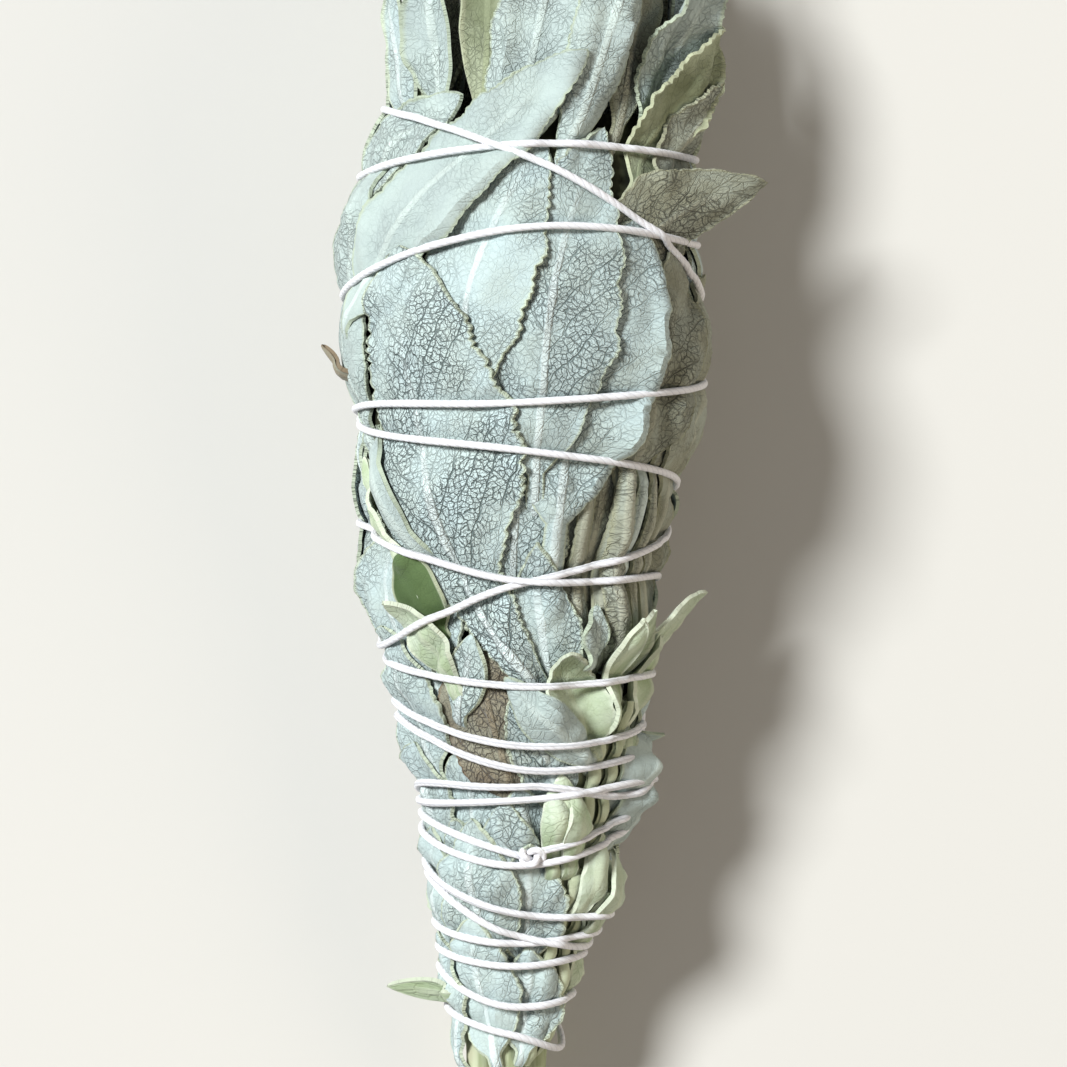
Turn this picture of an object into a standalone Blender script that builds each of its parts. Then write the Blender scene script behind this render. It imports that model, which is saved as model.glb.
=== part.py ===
"""A sage smudge stick: leafy sprigs of white sage laid side by side and bound with cotton string.

It lies on its side. +Y runs along the stick from the cut stems to the leaf tips, +Z is up and +X is
to the right as seen from above with the tips away. Blender units are metres, and MM turns millimetres
into them. A place on the stick is given by how far along it is, its angle round the stick from the
top (positive to the right) and its distance out from the stick's own axis.
"""

import math
from collections import namedtuple

import bmesh
import bpy
import numpy as np

MM = 0.001

# Driving sizes of the leaves, in metres
BLADE = 0.62 * MM  # thickness of a leaf blade
GAP = 0.3 * MM  # air kept between one leaf and the next
STALK_WIDTH = 2.4 * MM
TIP_WIDTH = 0.9 * MM
TOOTH = 0.35 * MM  # how far the rounded teeth of the edge stand out
TOOTH_NOTCH = 0.3 * TOOTH  # and how deep the notches between them are
TEETH_FROM, TEETH_TO = 0.2, 0.97  # between these shares of the leaf's length
TOOTHED_WIDTH = 7  # only leaves wider than this, in mm, are toothed
ROOT_DEPTH = 1.3 * MM  # how deep a leaf's foot is sunk in the sprig it grows from
CRUMB = 1.5 * MM
ROOT_SHARE = 0.10  # share of the leaf's length that dips into the sprig

# Driving sizes of the string, in metres
STRING = 0.9 * MM
STRING_GAP = 0.18 * MM
BITE = 0.7 * MM  # how far the string presses the leaves in
BITE_REACH = 3.0 * MM  # and how far along the stick on either side
BITE_BELOW = 1.3 * MM  # both are more underneath, where the stick lies on its leaves
BITE_REACH_BELOW = 2.0 * MM
STRING_SPAN = 1.2 * MM  # how high over a hollow it may pass
WELD = 0.001 * MM
KNOT = (2.6 * MM, 1.9 * MM, 1.5 * MM)

# The stick's outline: place along it, its middle's drift to the right and its half width, in mm
OUTLINE = (
    (-80, -2.0, 7.0),
    (-64, -1.9, 7.4),
    (-56, -1.6, 8.3),
    (-50, -1.4, 9.2),
    (-44, -0.5, 11.0),
    (-32, 0.3, 13.4),
    (-20, 0.0, 15.9),
    (-8, -1.0, 17.0),
    (4, -0.6, 19.0),
    (16, 0.5, 21.2),
    (28, 0.2, 21.7),
    (40, 0.5, 20.9),
    (52, 2.2, 17.9),
    (64, 2.8, 17.0),
    (84, 2.8, 15.0),
)
HEIGHT_SHARE = 0.94  # the stick's height against its width
FLATTENED = 0.07  # share of its height that lying down presses flat
LEAF_COVER = ((-80, 1.2), (-56, 2.0), (-30, 2.8), (60, 3.0), (84, 3.0))  # depth of the outer leaves, mm
UNDERLAY = ((-80, 4.6), (-40, 4.2), (-15, 3.0), (84, 3.0))  # depth of the leaves under the sprigs, mm
BELLY = 4.6 * MM  # how far the leaves it lies on bulge down between two turns of string
BELLY_FLATNESS = 1.4
BELLY_DEPTH = 9 * MM  # and how high up the bulging reaches
# Share of it, by place along in mm
BELLY_ALONG = ((-30, 0), (-18, 0.76), (-5, 0.86), (14, 1), (26, 1.3), (40, 1.3), (52, 0))
FOOT_FLAT = 0.5 * MM  # what comes this near to the lowest point is flattened against the ground
REST_SPOT = (26 * MM, 33 * MM)  # from here to here along, the lowest leaf is pressed flat
REST_FLAT = 1.7 * MM  # and more of it lies on the ground

# The sprigs: one in the middle and the rest round it
RING_NAMES = ("top", "top_right", "low_right", "underside", "low_left", "top_left")
SPRIG_SIDES = 12
# Their rings, mm along
SPRIG_PLACES = (-75, -65.4, -55.8, -46.2, -36.6, -27, -14, 0, 14, 28, 42, 48.5, 50)
SPRIG_TOP_SHRINK = (0.86, 0.6)  # the last two rings close its top
BARE_STEM_TO, FULL_FROM = -54 * MM, -28 * MM  # a bare round stem to here, and filled out from here
WEDGE = math.radians(29)  # half the angle that a sprig of the ring fills
HEART_SHARE, INNER_SHARE = 0.2, 0.58  # how far out the leaves inside the tuft are
CENTRE_CUT, LONGEST_CUT = -0.6 * MM, 1.8 * MM  # how far the cut ends differ along the stick
RING_GAP = 0.36 * MM

# Rows and columns of points in a leaf at least this wide, in mm
LEAF_GRIDS = ((14, (11, 5)), (12.5, (10, 5)), (9, (10, 4)), (0, (7, 3)))

# How the leaves settle on the pile
SETTLING_TURNS, SMOOTHING_TURNS = 40, 8
SETTLED = 0.02 * MM
STRING_MARGIN = 2.0 * MM  # a tip starts lifting this far beyond the last turn of string over it
FREE_SHARE = 0.35  # and no nearer to its foot than this share of its length

# The pile's grid, on which the height of what has been laid so far is kept
ALONG_STEP = 0.45 * MM
ROUND_STEP = math.radians(1.5)
ALONG_START, ALONG_END = -84 * MM, 92 * MM
POINT_STEP = 0.35 * MM  # the pile is measured from points this far apart

SAGE = (0.56, 0.62, 0.54)
SAGE_DEEP = (0.40, 0.49, 0.38)
SAGE_YOUNG = (0.50, 0.60, 0.38)
STEM = (0.48, 0.52, 0.36)
DRIED = (0.35, 0.26, 0.17)
COTTON = (0.86, 0.84, 0.80)

# A leaf: its foot, the point that its midrib bends towards and its tip, each as (degrees round from
# the top, mm along), its width in mm and how far its tip lifts off the stick in mm. What grows from a
# sprig is fused to it, and what is loose is a leaf of its own.
Leaf = namedtuple("Leaf", "name foot bend tip width lift kind", defaults=(0.0, "sprig"))

# The leaves are laid in this order, each over those before it, so the ones that start highest up the
# stick lie deepest, and a tip that stands well out comes after what would climb over it.
TUFT = (
    Leaf("tuft_left_1", (-62, 44), (-72, 58), (-84, 74), 9.0, 2.0),
    Leaf("tuft_left_2", (-46, 45), (-52, 60), (-54, 79), 10.0, 0.5),
    Leaf("tuft_left_3", (-22, 45), (-28, 60), (-22, 82), 11.0, 0.5),
    Leaf("tuft_mid_2", (17, 46), (18, 60), (28, 84), 10.0, 0.5),
    Leaf("tuft_right_1", (52, 45), (48, 56), (84, 68), 11.0, 3.5),
    Leaf("tuft_mid_1", (-8, 40), (-11, 56), (16, 80), 14.0, 0.5),
    Leaf("tuft_roll", (12, 41), (18, 57), (52, 82), 11.0, 1.0),
    Leaf("tuft_right_2", (42, 39), (48, 48), (86, 61), 12.0, 1.2),
    Leaf("tuft_right_3", (62, 34), (55, 44), (84, 54), 11.0, 0.8),
)
UPPER = (
    Leaf("top_left_fold", (-78, 34), (-85, 45), (-34, 52), 9.0, 0.3, "loose"),
    Leaf("right_tip", (38, 22), (40, 36.5), (79, 42), 13.0, 9.0, "loose"),
    Leaf("top_sweep", (-78, 22), (-52, 38), (15, 57), 12.0, 1.0, "loose"),
    Leaf("upper_left", (-22, 10), (-26, 32), (6, 46), 15.0, 0.2),
    Leaf("left_edge", (-76, 8), (-86, 28), (-66, 44), 11.0, 0.0),
    Leaf("centre_upper", (8, 2), (-3, 24), (29, 48), 16.0, 0.2),
)
MIDDLE = (
    Leaf("right_outer", (66, -15), (62, 4), (90, 31), 14.0, 0.0),
    Leaf("right_inner", (48, -16), (30, 10), (66, 34), 13.0, 0.0),
    Leaf("centre_right", (20, -17), (4, 14), (45, 37), 16.0, 0.0),
    Leaf("low_mid_2", (18, -20), (11, -13), (9, -1), 9.0, 0.2, "loose"),
    Leaf("young_3", (72, -20), (74, -14), (84, -6.8), 6.0, 6.0),
    Leaf("young_2", (52, -22), (52, -15), (58, -9), 5.0, 2.0),
    Leaf("low_left_curl", (-52, -22), (-68, -10), (-56, 1), 13.0, 0.3),
    Leaf("cover_left", (36, -25), (-49, -9), (-50, 33), 21.0, 0.2, "loose"),
)
LOWER = (
    Leaf("small_2", (-32, -23), (-25, -18), (-19, -12), 5.5, 0.4, "loose"),
    Leaf("small_1", (-28, -20), (-38, -13), (-50, -8), 5.0, 2.2, "loose"),
    Leaf("young_1", (40, -28), (24, -21), (20, -14), 8.0, 2.6, "loose"),
    Leaf("low_left_2", (-52, -31), (-72, -22), (-66, -11), 13.0, 0.0),
    Leaf("brown", (-4, -34), (-16, -22), (-20, -12), 12.0, 0.0, "dried"),
    Leaf("low_mid_1", (30, -30), (10, -25), (-6, -18), 8.0, 0.4, "loose"),
    Leaf("roll_right", (62, -33), (70, -29), (84, -24), 7.0, 3.0, "loose"),
    Leaf("spotted", (10, -41), (1, -36), (-3, -30), 7.0, 0.3, "loose"),
    Leaf("bud", (28, -39), (24, -34), (19, -29), 5.0, 1.6, "loose"),
    Leaf("left_low_mid", (-58, -41), (-76, -34), (-68, -25), 11.0, 0.0),
)
TAIL = (
    Leaf("right_low_1", (72, -51), (68, -44), (50, -37), 6.0, 1.2),
    Leaf("tail_3", (-60, -51), (-74, -44), (-66, -35), 10.0, 0.0),
    Leaf("tail_1", (20, -53), (6, -46), (3, -37), 9.0, 0.2),
    Leaf("tail_2", (-12, -54), (-32, -45), (-30, -34), 10.5, 0.0),
    Leaf("right_low_2", (74, -57), (86, -50), (52, -43), 6.0, 0.8),
    Leaf("tail_5", (18, -64), (24, -58), (12, -50), 9.0, 0.3),
    Leaf("tail_4", (-10, -65), (-28, -57), (-30, -46), 10.0, 0.0),
    Leaf("tail_6", (-62, -65), (-74, -57), (-66, -48), 8.0, 0.0),
)
STANDING_OUT = (Leaf("tail_tip", (-60, -56.2), (-76, -55.2), (-88, -54.6), 2.6, 6.5, "loose"),)

# The leaves of the far side and the underside, in rows up the stick: place along, angles round, length in
# mm and width in mm. The rows that it lies on overlap only between turns of string.
BackRow = namedtuple("BackRow", "start angles length width")
BACK_ROWS = (
    (BackRow(31, (180,), 43, 15.0), BackRow(33, (112, 142, 220, 249), 44, 13.0)),
    (BackRow(9, (180,), 28, 18.0), BackRow(8, (128, 232), 44, 15.5)),
    (BackRow(-8, (180,), 26, 17.0), BackRow(-18, (112, 140, 222, 248), 38, 12.0)),
    (BackRow(-28, (180,), 26, 14.5), BackRow(-40, (130, 230), 32, 12.0)),
    (BackRow(-62, (180,), 40, 9.5), BackRow(-62, (118, 242), 25, 8.5)),
)
BACK_LEAN = 6

# The string's passes over the front, from left edge over the top to right edge, in mm along. Between
# two passes it goes round the back. It starts and ends in the knot.
PASSES = (
    (-39.2, -45.4, -45.8),
    (-46.6, -49.1, -47.6),
    (-49.6, -51.9, -50.6),
    (-52.2, -56.8, -55.5),
    (-57.2, -60.2, -61.7),
    (-40.9, -48.0, -49.1),
    (-30.6, -30.1, -27.9),
    (-12.8, -6.2, 0.4),
    (14.8, 15.4, 18.3),
    (28.4, 35.9, 34.6),
    (42.6, 45.9, 44.9),
    (51.1, 44.2, 28.6),
    (13.2, 9.8, 5.9),
    (1.3, -5.5, -5.2),
    (-14.5, -18.1, -16.7),
    (-20.0, -25.2, -22.9),
    (-21.8, -28.1, -26.4),
    (-32.1, -31.7, -29.5),
    (-35.2, -39.6, -34.8),
)
# Where it is underneath on its way to some of the passes, so that it doesn't cross itself where the
# stick lies
UNDERNEATH = {8: 9.8, 14: 0.6}
KNOT_PLACE = -38.1
FIRST_RIGHT = -33.2
LAST_LEFT = -33.6
WIDE_TURN = 16 * MM  # turns of a larger radius than this get more points
TURN_POINTS, WIDE_TURN_POINTS = 13, 19
STRING_RUN = 4  # points of the string laid at a time


# The stick's outline and axis


def smooth_through(rows, column, at):
    """A curve through one column of a table whose first column rises, read at some places."""
    table = np.array(rows, float) * MM
    xs, ys = table[:, 0], table[:, column]
    slopes = np.gradient(ys, xs)
    at = np.clip(at, xs[0], xs[-1])
    i = np.clip(np.searchsorted(xs, at) - 1, 0, len(xs) - 2)
    width = xs[i + 1] - xs[i]
    t = (at - xs[i]) / width
    start = (1 + 2 * t) * (1 - t) ** 2 * ys[i] + t * (1 - t) ** 2 * width * slopes[i]
    end = t * t * (3 - 2 * t) * ys[i + 1] + t * t * (t - 1) * width * slopes[i + 1]
    return start + end


def core_radius(along):
    return smooth_through(OUTLINE, 2, along) - smooth_through(LEAF_COVER, 1, along)


def axis_height(along):
    return core_radius(along) * HEIGHT_SHARE * (1 - FLATTENED) + smooth_through(UNDERLAY, 1, along)


def on_stick(along, angle, out):
    """Points in space, from their place along the stick, angle round it and distance out."""
    x = smooth_through(OUTLINE, 1, along) + out * np.sin(angle)
    z = axis_height(along) + out * np.cos(angle)
    return np.stack([x, along, z], -1)


def from_stick(points):
    """The place along, angle round and distance out of points in space."""
    along = points[..., 1]
    across = points[..., 0] - smooth_through(OUTLINE, 1, along)
    up = points[..., 2] - axis_height(along)
    return along, np.arctan2(across, up), np.hypot(across, up)


# The string's route


def knots_of_string():
    """(turns, place along) of the points it passes through: at the left, top, right and back."""
    knots = [(0.02, KNOT_PLACE), (0.25, FIRST_RIGHT)]
    for number, (left, top, right) in enumerate(PASSES, 1):
        below = UNDERNEATH.get(number, (knots[-1][1] + left) / 2)
        knots += [(number - 0.5, below), (number - 0.25, left), (number, top), (number + 0.25, right)]
    last = len(PASSES) + 1
    knots += [(last - 0.5, (knots[-1][1] + LAST_LEFT) / 2), (last - 0.25, LAST_LEFT)]
    return [*knots, (last + 0.01, KNOT_PLACE - 0.6)]


def string_route(turns):
    """Place along the stick at each number of turns since the start."""
    table = np.array(knots_of_string())
    xs, ys = table[:, 0], table[:, 1] * MM
    slopes = np.gradient(ys, xs)
    i = np.clip(np.searchsorted(xs, turns) - 1, 0, len(xs) - 2)
    width = xs[i + 1] - xs[i]
    t = (turns - xs[i]) / width
    start = (1 + 2 * t) * (1 - t) ** 2 * ys[i] + t * (1 - t) ** 2 * width * slopes[i]
    end = t * t * (3 - 2 * t) * ys[i + 1] + t * t * (t - 1) * width * slopes[i + 1]
    return start + end


# The pile


def cell(along, angle):
    rows = int(round((ALONG_END - ALONG_START) / ALONG_STEP))
    columns = int(round(2 * math.pi / ROUND_STEP))
    row = np.clip(np.round((along - ALONG_START) / ALONG_STEP).astype(int), 1, rows - 2)
    column = np.round(np.mod(angle, 2 * math.pi) / ROUND_STEP).astype(int) % columns
    return row, column, rows, columns


def empty_grid():
    _, _, rows, columns = cell(np.zeros(1), np.zeros(1))
    return np.zeros((rows, columns))


def underneath(angle):
    """1 at the stick's underside, falling to 0 at its sides."""
    return np.maximum(0, -np.cos(angle)) ** 2


def bite_depth(angle):
    return BITE + BITE_BELOW * underneath(angle)


def string_bite():
    """How far the string presses in the leaves, over the grid."""
    bite = empty_grid()
    places = ALONG_START + ALONG_STEP * np.arange(bite.shape[0])
    first, last = knots_of_string()[0][0], knots_of_string()[-1][0]
    for turns in np.arange(first, last, ROUND_STEP / (2 * math.pi)):
        angle = 2 * math.pi * turns
        _, column, _, _ = cell(np.zeros(1), np.array([angle]))
        depth, reach = bite_depth(angle), BITE_REACH + BITE_REACH_BELOW * underneath(angle)
        near = np.exp(-(((places - string_route(np.array([turns]))[0]) / reach) ** 2))
        bite[:, column[0]] = np.maximum(bite[:, column[0]], depth * near)
    return bite


STRING_BITE = string_bite()


def packed(along, angle):
    """Distance out of the packed sprigs' surface: an oval, flattened underneath."""
    wide = core_radius(along)
    high = wide * HEIGHT_SHARE
    oval = wide * high / np.hypot(high * np.sin(angle), wide * np.cos(angle))
    down = np.maximum(-np.cos(angle), 1e-3)
    return np.minimum(oval, high * (1 - FLATTENED) / down)


def guide(along, angle):
    """The surface that the leaves lie on, pressed in by the string."""
    row, column, _, _ = cell(along, angle)
    return packed(along, angle) - STRING_BITE[row, column]


class Pile:
    """How far out the pieces laid so far reach, on a grid along and round the stick."""

    def __init__(self):
        self.reach = empty_grid()

    def top(self, along, angle):
        """The furthest reach in the cells round each place."""
        row, column, _, columns = cell(along, angle)
        found = np.zeros(row.shape)
        for up in (-1, 0, 1):
            for over in (-1, 0, 1):
                found = np.maximum(found, self.reach[row + up, (column + over) % columns])
        return found

    def lay(self, points):
        """Adds a piece, given by many points on its surface."""
        along, angle, out = from_stick(points)
        row, column, _, _ = cell(along, angle)
        np.maximum.at(self.reach, (row.ravel(), column.ravel()), out.ravel())


def spread_weights(steps):
    """Weights of evenly spread points over a triangle's corners."""
    pairs = [(i, j) for i in range(steps + 1) for j in range(steps + 1 - i)]
    return np.array([(i, j, steps - i - j) for i, j in pairs], float) / steps


def by_size(corners, triangles):
    """The triangles in groups of like size, each with the weights of points POINT_STEP apart or less."""
    sides = corners[triangles] - corners[np.roll(triangles, 1, axis=1)]
    steps = np.ceil(np.linalg.norm(sides, axis=2).max(1) / POINT_STEP).astype(int)
    steps = np.clip((steps + 2) // 3 * 3, 3, 60)
    return [(triangles[steps == size], spread_weights(size)) for size in np.unique(steps)]


def surface_points(corners, triangles):
    """Points all over some triangles."""
    groups = by_size(corners, triangles)
    return np.concatenate([np.einsum("sk,tkc->tsc", w, corners[t]).reshape(-1, 3) for t, w in groups])


# Leaves


def leaf_half_width(leaf, share, rows):
    """Half the leaf's width at each share of its length: a stalk, a long oval and a blunt tip, toothed."""
    blade = np.clip((share - ROOT_SHARE) / (1 - ROOT_SHARE), 0, 1)
    oval = np.sin(math.pi * blade**0.95) ** 0.66
    half = np.maximum(leaf.width * MM / 2 * oval, STALK_WIDTH / 2 * (1 - share) + TIP_WIDTH / 2 * share)
    toothed = (share > TEETH_FROM) & (share < TEETH_TO) & (np.arange(rows) % 2 == 1)
    notch = TOOTH_NOTCH * (share > TEETH_FROM)
    return half + np.where(toothed, TOOTH, -notch) * (leaf.width > TOOTHED_WIDTH)


def leaf_layout(leaf, rows, columns):
    """Place along and angle round of each point of the leaf's grid, from foot to tip and left to right."""
    share = np.linspace(0, 1, rows)
    bezier = np.stack([(1 - share) ** 2, 2 * share * (1 - share), share**2])
    controls = np.array([leaf.foot, leaf.bend, leaf.tip], float)
    angle = np.radians(controls[:, 0] @ bezier)
    along = controls[:, 1] @ bezier * MM
    girth = core_radius(along)
    step_round = np.gradient(angle) * girth
    step_along = np.gradient(along)
    length = np.hypot(step_round, step_along)
    side = np.linspace(-1, 1, columns)
    offset = leaf_half_width(leaf, share, rows)[:, None] * side[None, :]
    grid_along = along[:, None] - offset * (step_round / length)[:, None]
    grid_angle = angle[:, None] + offset * (step_along / length / girth)[:, None]
    return share, grid_along, grid_angle


def grid_triangles(rows, columns):
    """Triangles of a grid of points, wound to face away from the stick."""
    number = np.arange(rows * columns).reshape(rows, columns)
    a, b, c, d = number[:-1, :-1], number[:-1, 1:], number[1:, 1:], number[1:, :-1]
    halves = [np.stack(corners, -1).reshape(-1, 3) for corners in ((a, b, c), (a, c, d))]
    return np.concatenate(halves)


def evened(out):
    """Each point of a grid drawn half way to the mean of its neighbours along and across."""
    padded = np.pad(out, 1, mode="edge")
    mean = (padded[:-2, 1:-1] + padded[2:, 1:-1] + padded[1:-1, :-2] + padded[1:-1, 2:]) / 4
    return (out + mean) / 2


def laid_over(pile, along, angle, out, triangles, held):
    """Raises a grid of points until its triangles clear the pile. The first rows, which are held, stay."""
    shape, fixed = out.shape, held.ravel()
    tested = triangles[~fixed[triangles].all(1)]
    for turn in range(SETTLING_TURNS):
        corners = on_stick(along.ravel(), angle.ravel(), out.ravel())
        raised, worst = np.zeros(out.size), 0.0
        for group, weights in by_size(corners, tested):
            points = np.einsum("sk,tkc->tsc", weights, corners[group])
            s_along, s_angle, s_out = from_stick(points)
            short = pile.top(s_along, s_angle) + GAP - s_out
            short[fixed[group].any(1)] -= ROOT_DEPTH + GAP
            worst = max(worst, short.max())
            share = weights / (weights**2).sum(1, keepdims=True)
            push = np.clip(short, 0, None)[:, :, None] * share[None]
            np.maximum.at(raised, group.ravel(), push.max(1).ravel())
        if turn > SMOOTHING_TURNS and worst < SETTLED:
            break
        raised[fixed] = 0
        out = out + raised.reshape(shape)
        if turn < SMOOTHING_TURNS and turn % 2:
            out = np.where(held, out, evened(out))
    return out


def lift_of_tip(leaf, share, along, angle):
    """How far each row lifts off the stick: nothing up to the last string over it, then more and more."""
    fine = np.linspace(0, 1, 101)
    middle_along = np.interp(fine, share, along[:, along.shape[1] // 2])
    middle_angle = np.interp(fine, share, angle[:, along.shape[1] // 2])
    start = FREE_SHARE
    first, last = knots_of_string()[0][0], knots_of_string()[-1][0]
    for number in range(math.floor(first) - 1, math.ceil(last) + 2):
        turns = middle_angle / (2 * math.pi) + number
        above = middle_along - string_route(np.clip(turns, first, last))
        above = above[(turns >= first) & (turns <= last)]
        if len(above) and above.min() < 0 < above.max():
            held = fine[(turns >= first) & (turns <= last)][np.abs(above) < STRING_MARGIN]
            start = max(start, held.max())
    rise = np.clip((share - start) / max(1 - start, 0.05), 0, 1) ** 1.5
    return leaf.lift * MM * rise


def new_object(name, corners, faces, colour):
    mesh = bpy.data.meshes.new(name)
    mesh.from_pydata([tuple(c) for c in corners], [], [tuple(int(i) for i in f) for f in faces])
    mesh.materials.append(material(colour))
    piece = bpy.data.objects.new(name, mesh)
    bpy.context.collection.objects.link(piece)
    return piece


def finished_mesh(piece):
    """Applies the modifiers, and returns the corners and triangles."""
    bpy.context.view_layer.update()
    graph = bpy.context.evaluated_depsgraph_get()
    mesh = bpy.data.meshes.new_from_object(piece.evaluated_get(graph))
    piece.modifiers.clear()
    piece.data = mesh
    mesh.calc_loop_triangles()
    corners = np.array([v.co for v in mesh.vertices])
    return corners, np.array([t.vertices for t in mesh.loop_triangles])


def leaf_colour(leaf):
    if leaf.kind == "dried":
        return DRIED
    if leaf.name.startswith("young"):
        return SAGE_YOUNG
    return SAGE_DEEP if leaf.name in ("low_mid_2", "low_mid_1", "tuft_mid_2") else SAGE


def sprig_surface(along, angle):
    """The outside of the sprigs before their leaves, clear of the string everywhere."""
    return packed(along, angle) - bite_depth(angle)


def make_leaf(leaf, pile, floor=guide, root=sprig_surface):
    """Lays one leaf over the pile: a thin blade that follows what is under it, with its tip lifted."""
    rows, columns = next(grid for width, grid in LEAF_GRIDS if leaf.width >= width)
    share, along, angle = leaf_layout(leaf, rows, columns)
    rooted = leaf.kind == "sprig"
    held = np.repeat((share < ROOT_SHARE + 0.01)[:, None], columns, 1) & rooted
    out = np.maximum(floor(along, angle) + GAP, pile.top(along, angle) + GAP)
    sunk = root(along, angle) - ROOT_DEPTH
    out = np.where(held, sunk, out)
    triangles = grid_triangles(rows, columns)
    out = laid_over(pile, along, angle, out, triangles, held)
    out = out + lift_of_tip(leaf, share, along, angle)[:, None]
    corners = on_stick(along.ravel(), angle.ravel(), out.ravel())
    piece = new_object("leaf_" + leaf.name, corners, triangles, leaf_colour(leaf))
    thicken = piece.modifiers.new("Blade", "SOLIDIFY")
    thicken.thickness = BLADE
    thicken.offset = 1
    corners, triangles = finished_mesh(piece)
    pile.lay(surface_points(corners, triangles))
    return piece


def back_leaves(row):
    """One row of the leaves of the far side and the underside."""
    leaves = []
    for part in BACK_ROWS[row] if row < len(BACK_ROWS) else ():
        for number, angle in enumerate(part.angles):
            lean = BACK_LEAN * (-1) ** (number + row) if len(part.angles) > 1 else 0
            bend = (angle - lean, part.start + part.length * 0.45)
            tip = (angle + lean, part.start + part.length)
            name = f"back_{row + 1}_{angle}"
            leaves.append(Leaf(name, (angle, part.start), bend, tip, part.width, 0.2))
    return leaves


# Sprigs


def stem_share(along):
    """0 where a sprig is its bare round stem, at the cut end, and 1 where its packed leaves fill it out."""
    return np.clip((along - BARE_STEM_TO) / (FULL_FROM - BARE_STEM_TO), 0, 1)


def sprig_ring(place, middle_angle, sides):
    """One ring of points round a sprig, as angles round the stick and shares of the packed radius."""
    turn = np.linspace(0, 2 * math.pi, sides, endpoint=False)
    full = stem_share(place)
    power = 1 if middle_angle is None else 1 - 0.35 * full
    inward = np.sign(np.cos(turn)) * np.abs(np.cos(turn)) ** power
    sideways = np.sign(np.sin(turn)) * np.abs(np.sin(turn)) ** power
    radius = core_radius(place)
    if middle_angle is None:
        own = radius / 3 - RING_GAP / 2
        return np.arctan2(sideways, inward), np.hypot(sideways, inward) * own / radius
    thick = radius / 3 - RING_GAP / 2
    outward = radius * 2 / 3 + inward * thick
    half = thick + full * (outward * math.tan(WEDGE) - RING_GAP - thick)
    across = sideways * half
    return middle_angle + np.arctan2(across, outward), np.hypot(across, outward) / radius


def make_sprig(name, middle_angle, pile, end_offset):
    """A sprig without its leaves: a round stem that fills out into the folded leaves packed along it."""
    sides = SPRIG_SIDES
    places = np.array(SPRIG_PLACES) * MM
    places[0] += end_offset
    corners = []
    for number, place in enumerate(places):
        angle, share = sprig_ring(place, middle_angle, sides)
        shrink = dict(zip((len(places) - 2, len(places) - 1), SPRIG_TOP_SHRINK)).get(number, 1.0)
        middle = 0 if middle_angle is None else 2 / 3
        bearing = 0 if middle_angle is None else middle_angle
        x = middle * math.sin(bearing) + (share * np.sin(angle) - middle * math.sin(bearing)) * shrink
        z = middle * math.cos(bearing) + (share * np.cos(angle) - middle * math.cos(bearing)) * shrink
        angle, share = np.arctan2(x, z), np.hypot(x, z)
        along = np.full(sides, place)
        corners.append(on_stick(along, angle, share * sprig_surface(along, angle)))
    corners = np.concatenate(corners)
    faces = [tuple(reversed(range(sides))), tuple(range(len(corners) - sides, len(corners)))]
    for ring in range(len(places) - 1):
        for side in range(sides):
            a, b = ring * sides + side, ring * sides + (side + 1) % sides
            faces.append((a, b, b + sides, a + sides))
    piece = new_object("sprig_" + name, corners, faces, STEM)
    corners, triangles = finished_mesh(piece)
    pile.lay(surface_points(corners, triangles))
    return piece


def face_bodies(shape):
    """The faces in groups that hang together over edges between just two of them, smallest group first."""
    unseen, bodies = set(shape.faces), []
    while unseen:
        body, edge = set(), {unseen.pop()}
        while edge:
            body |= edge
            near = {link for face in edge for link in face.edges if len(link.link_faces) == 2}
            edge = {face for link in near for face in link.link_faces} - body
        unseen -= body
        bodies.append(body)
    return sorted(bodies, key=len)


def drop_crumbs(piece):
    """Shrinks to a point the crumbs that a union leaves where two blades touch. Stops at a loose blade."""
    shape = bmesh.new()
    shape.from_mesh(piece.data)
    while len(bodies := face_bodies(shape)) > 1:
        corners = list({v for face in bodies[0] for v in face.verts})
        places = np.array([v.co for v in corners])
        if np.ptp(places, axis=0).max() > CRUMB:
            raise ValueError(f"{piece.name} has a loose piece at {places.mean(0) / MM}")
        bmesh.ops.pointmerge(shape, verts=corners, merge_co=places.mean(0))
        bmesh.ops.delete(shape, geom=[v for v in shape.verts if not v.link_faces], context="VERTS")
    shape.to_mesh(piece.data)
    shape.free()


def join_to(piece, blades):
    """Fuses blades to the sprig that they grow from."""
    if not blades:
        return
    group = bpy.data.collections.new(piece.name + "_blades")
    bpy.context.scene.collection.children.link(group)
    for blade in blades:
        for home in list(blade.users_collection):
            home.objects.unlink(blade)
        group.objects.link(blade)
    union = piece.modifiers.new("Grown together", "BOOLEAN")
    union.operation = "UNION"
    union.operand_type = "COLLECTION"
    union.collection = group
    union.solver = "MANIFOLD"
    finished_mesh(piece)
    drop_crumbs(piece)
    for blade in blades:
        bpy.data.objects.remove(blade)
    bpy.data.collections.remove(group)


def inner_tuft():
    """The leaves inside the tuft, which fill its open end, as (sprig, leaf, share of the radius)."""
    found = []
    for number in range(3):
        angle = 120 * number + 40
        leaf = Leaf(f"heart_{number}", (angle, 47), (angle, 58), (angle + 15, 78 + number), 8.0)
        found.append(("centre", leaf, HEART_SHARE))
    for number, name in enumerate(RING_NAMES):
        angle = 60 * number
        tip = (angle - 6, 81 - 3 * (number % 3))
        leaf = Leaf(f"inner_{name}", (angle, 47), (angle + 8, 60), tip, 10)
        found.append((name, leaf, INNER_SHARE))
    return found


# String


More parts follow.
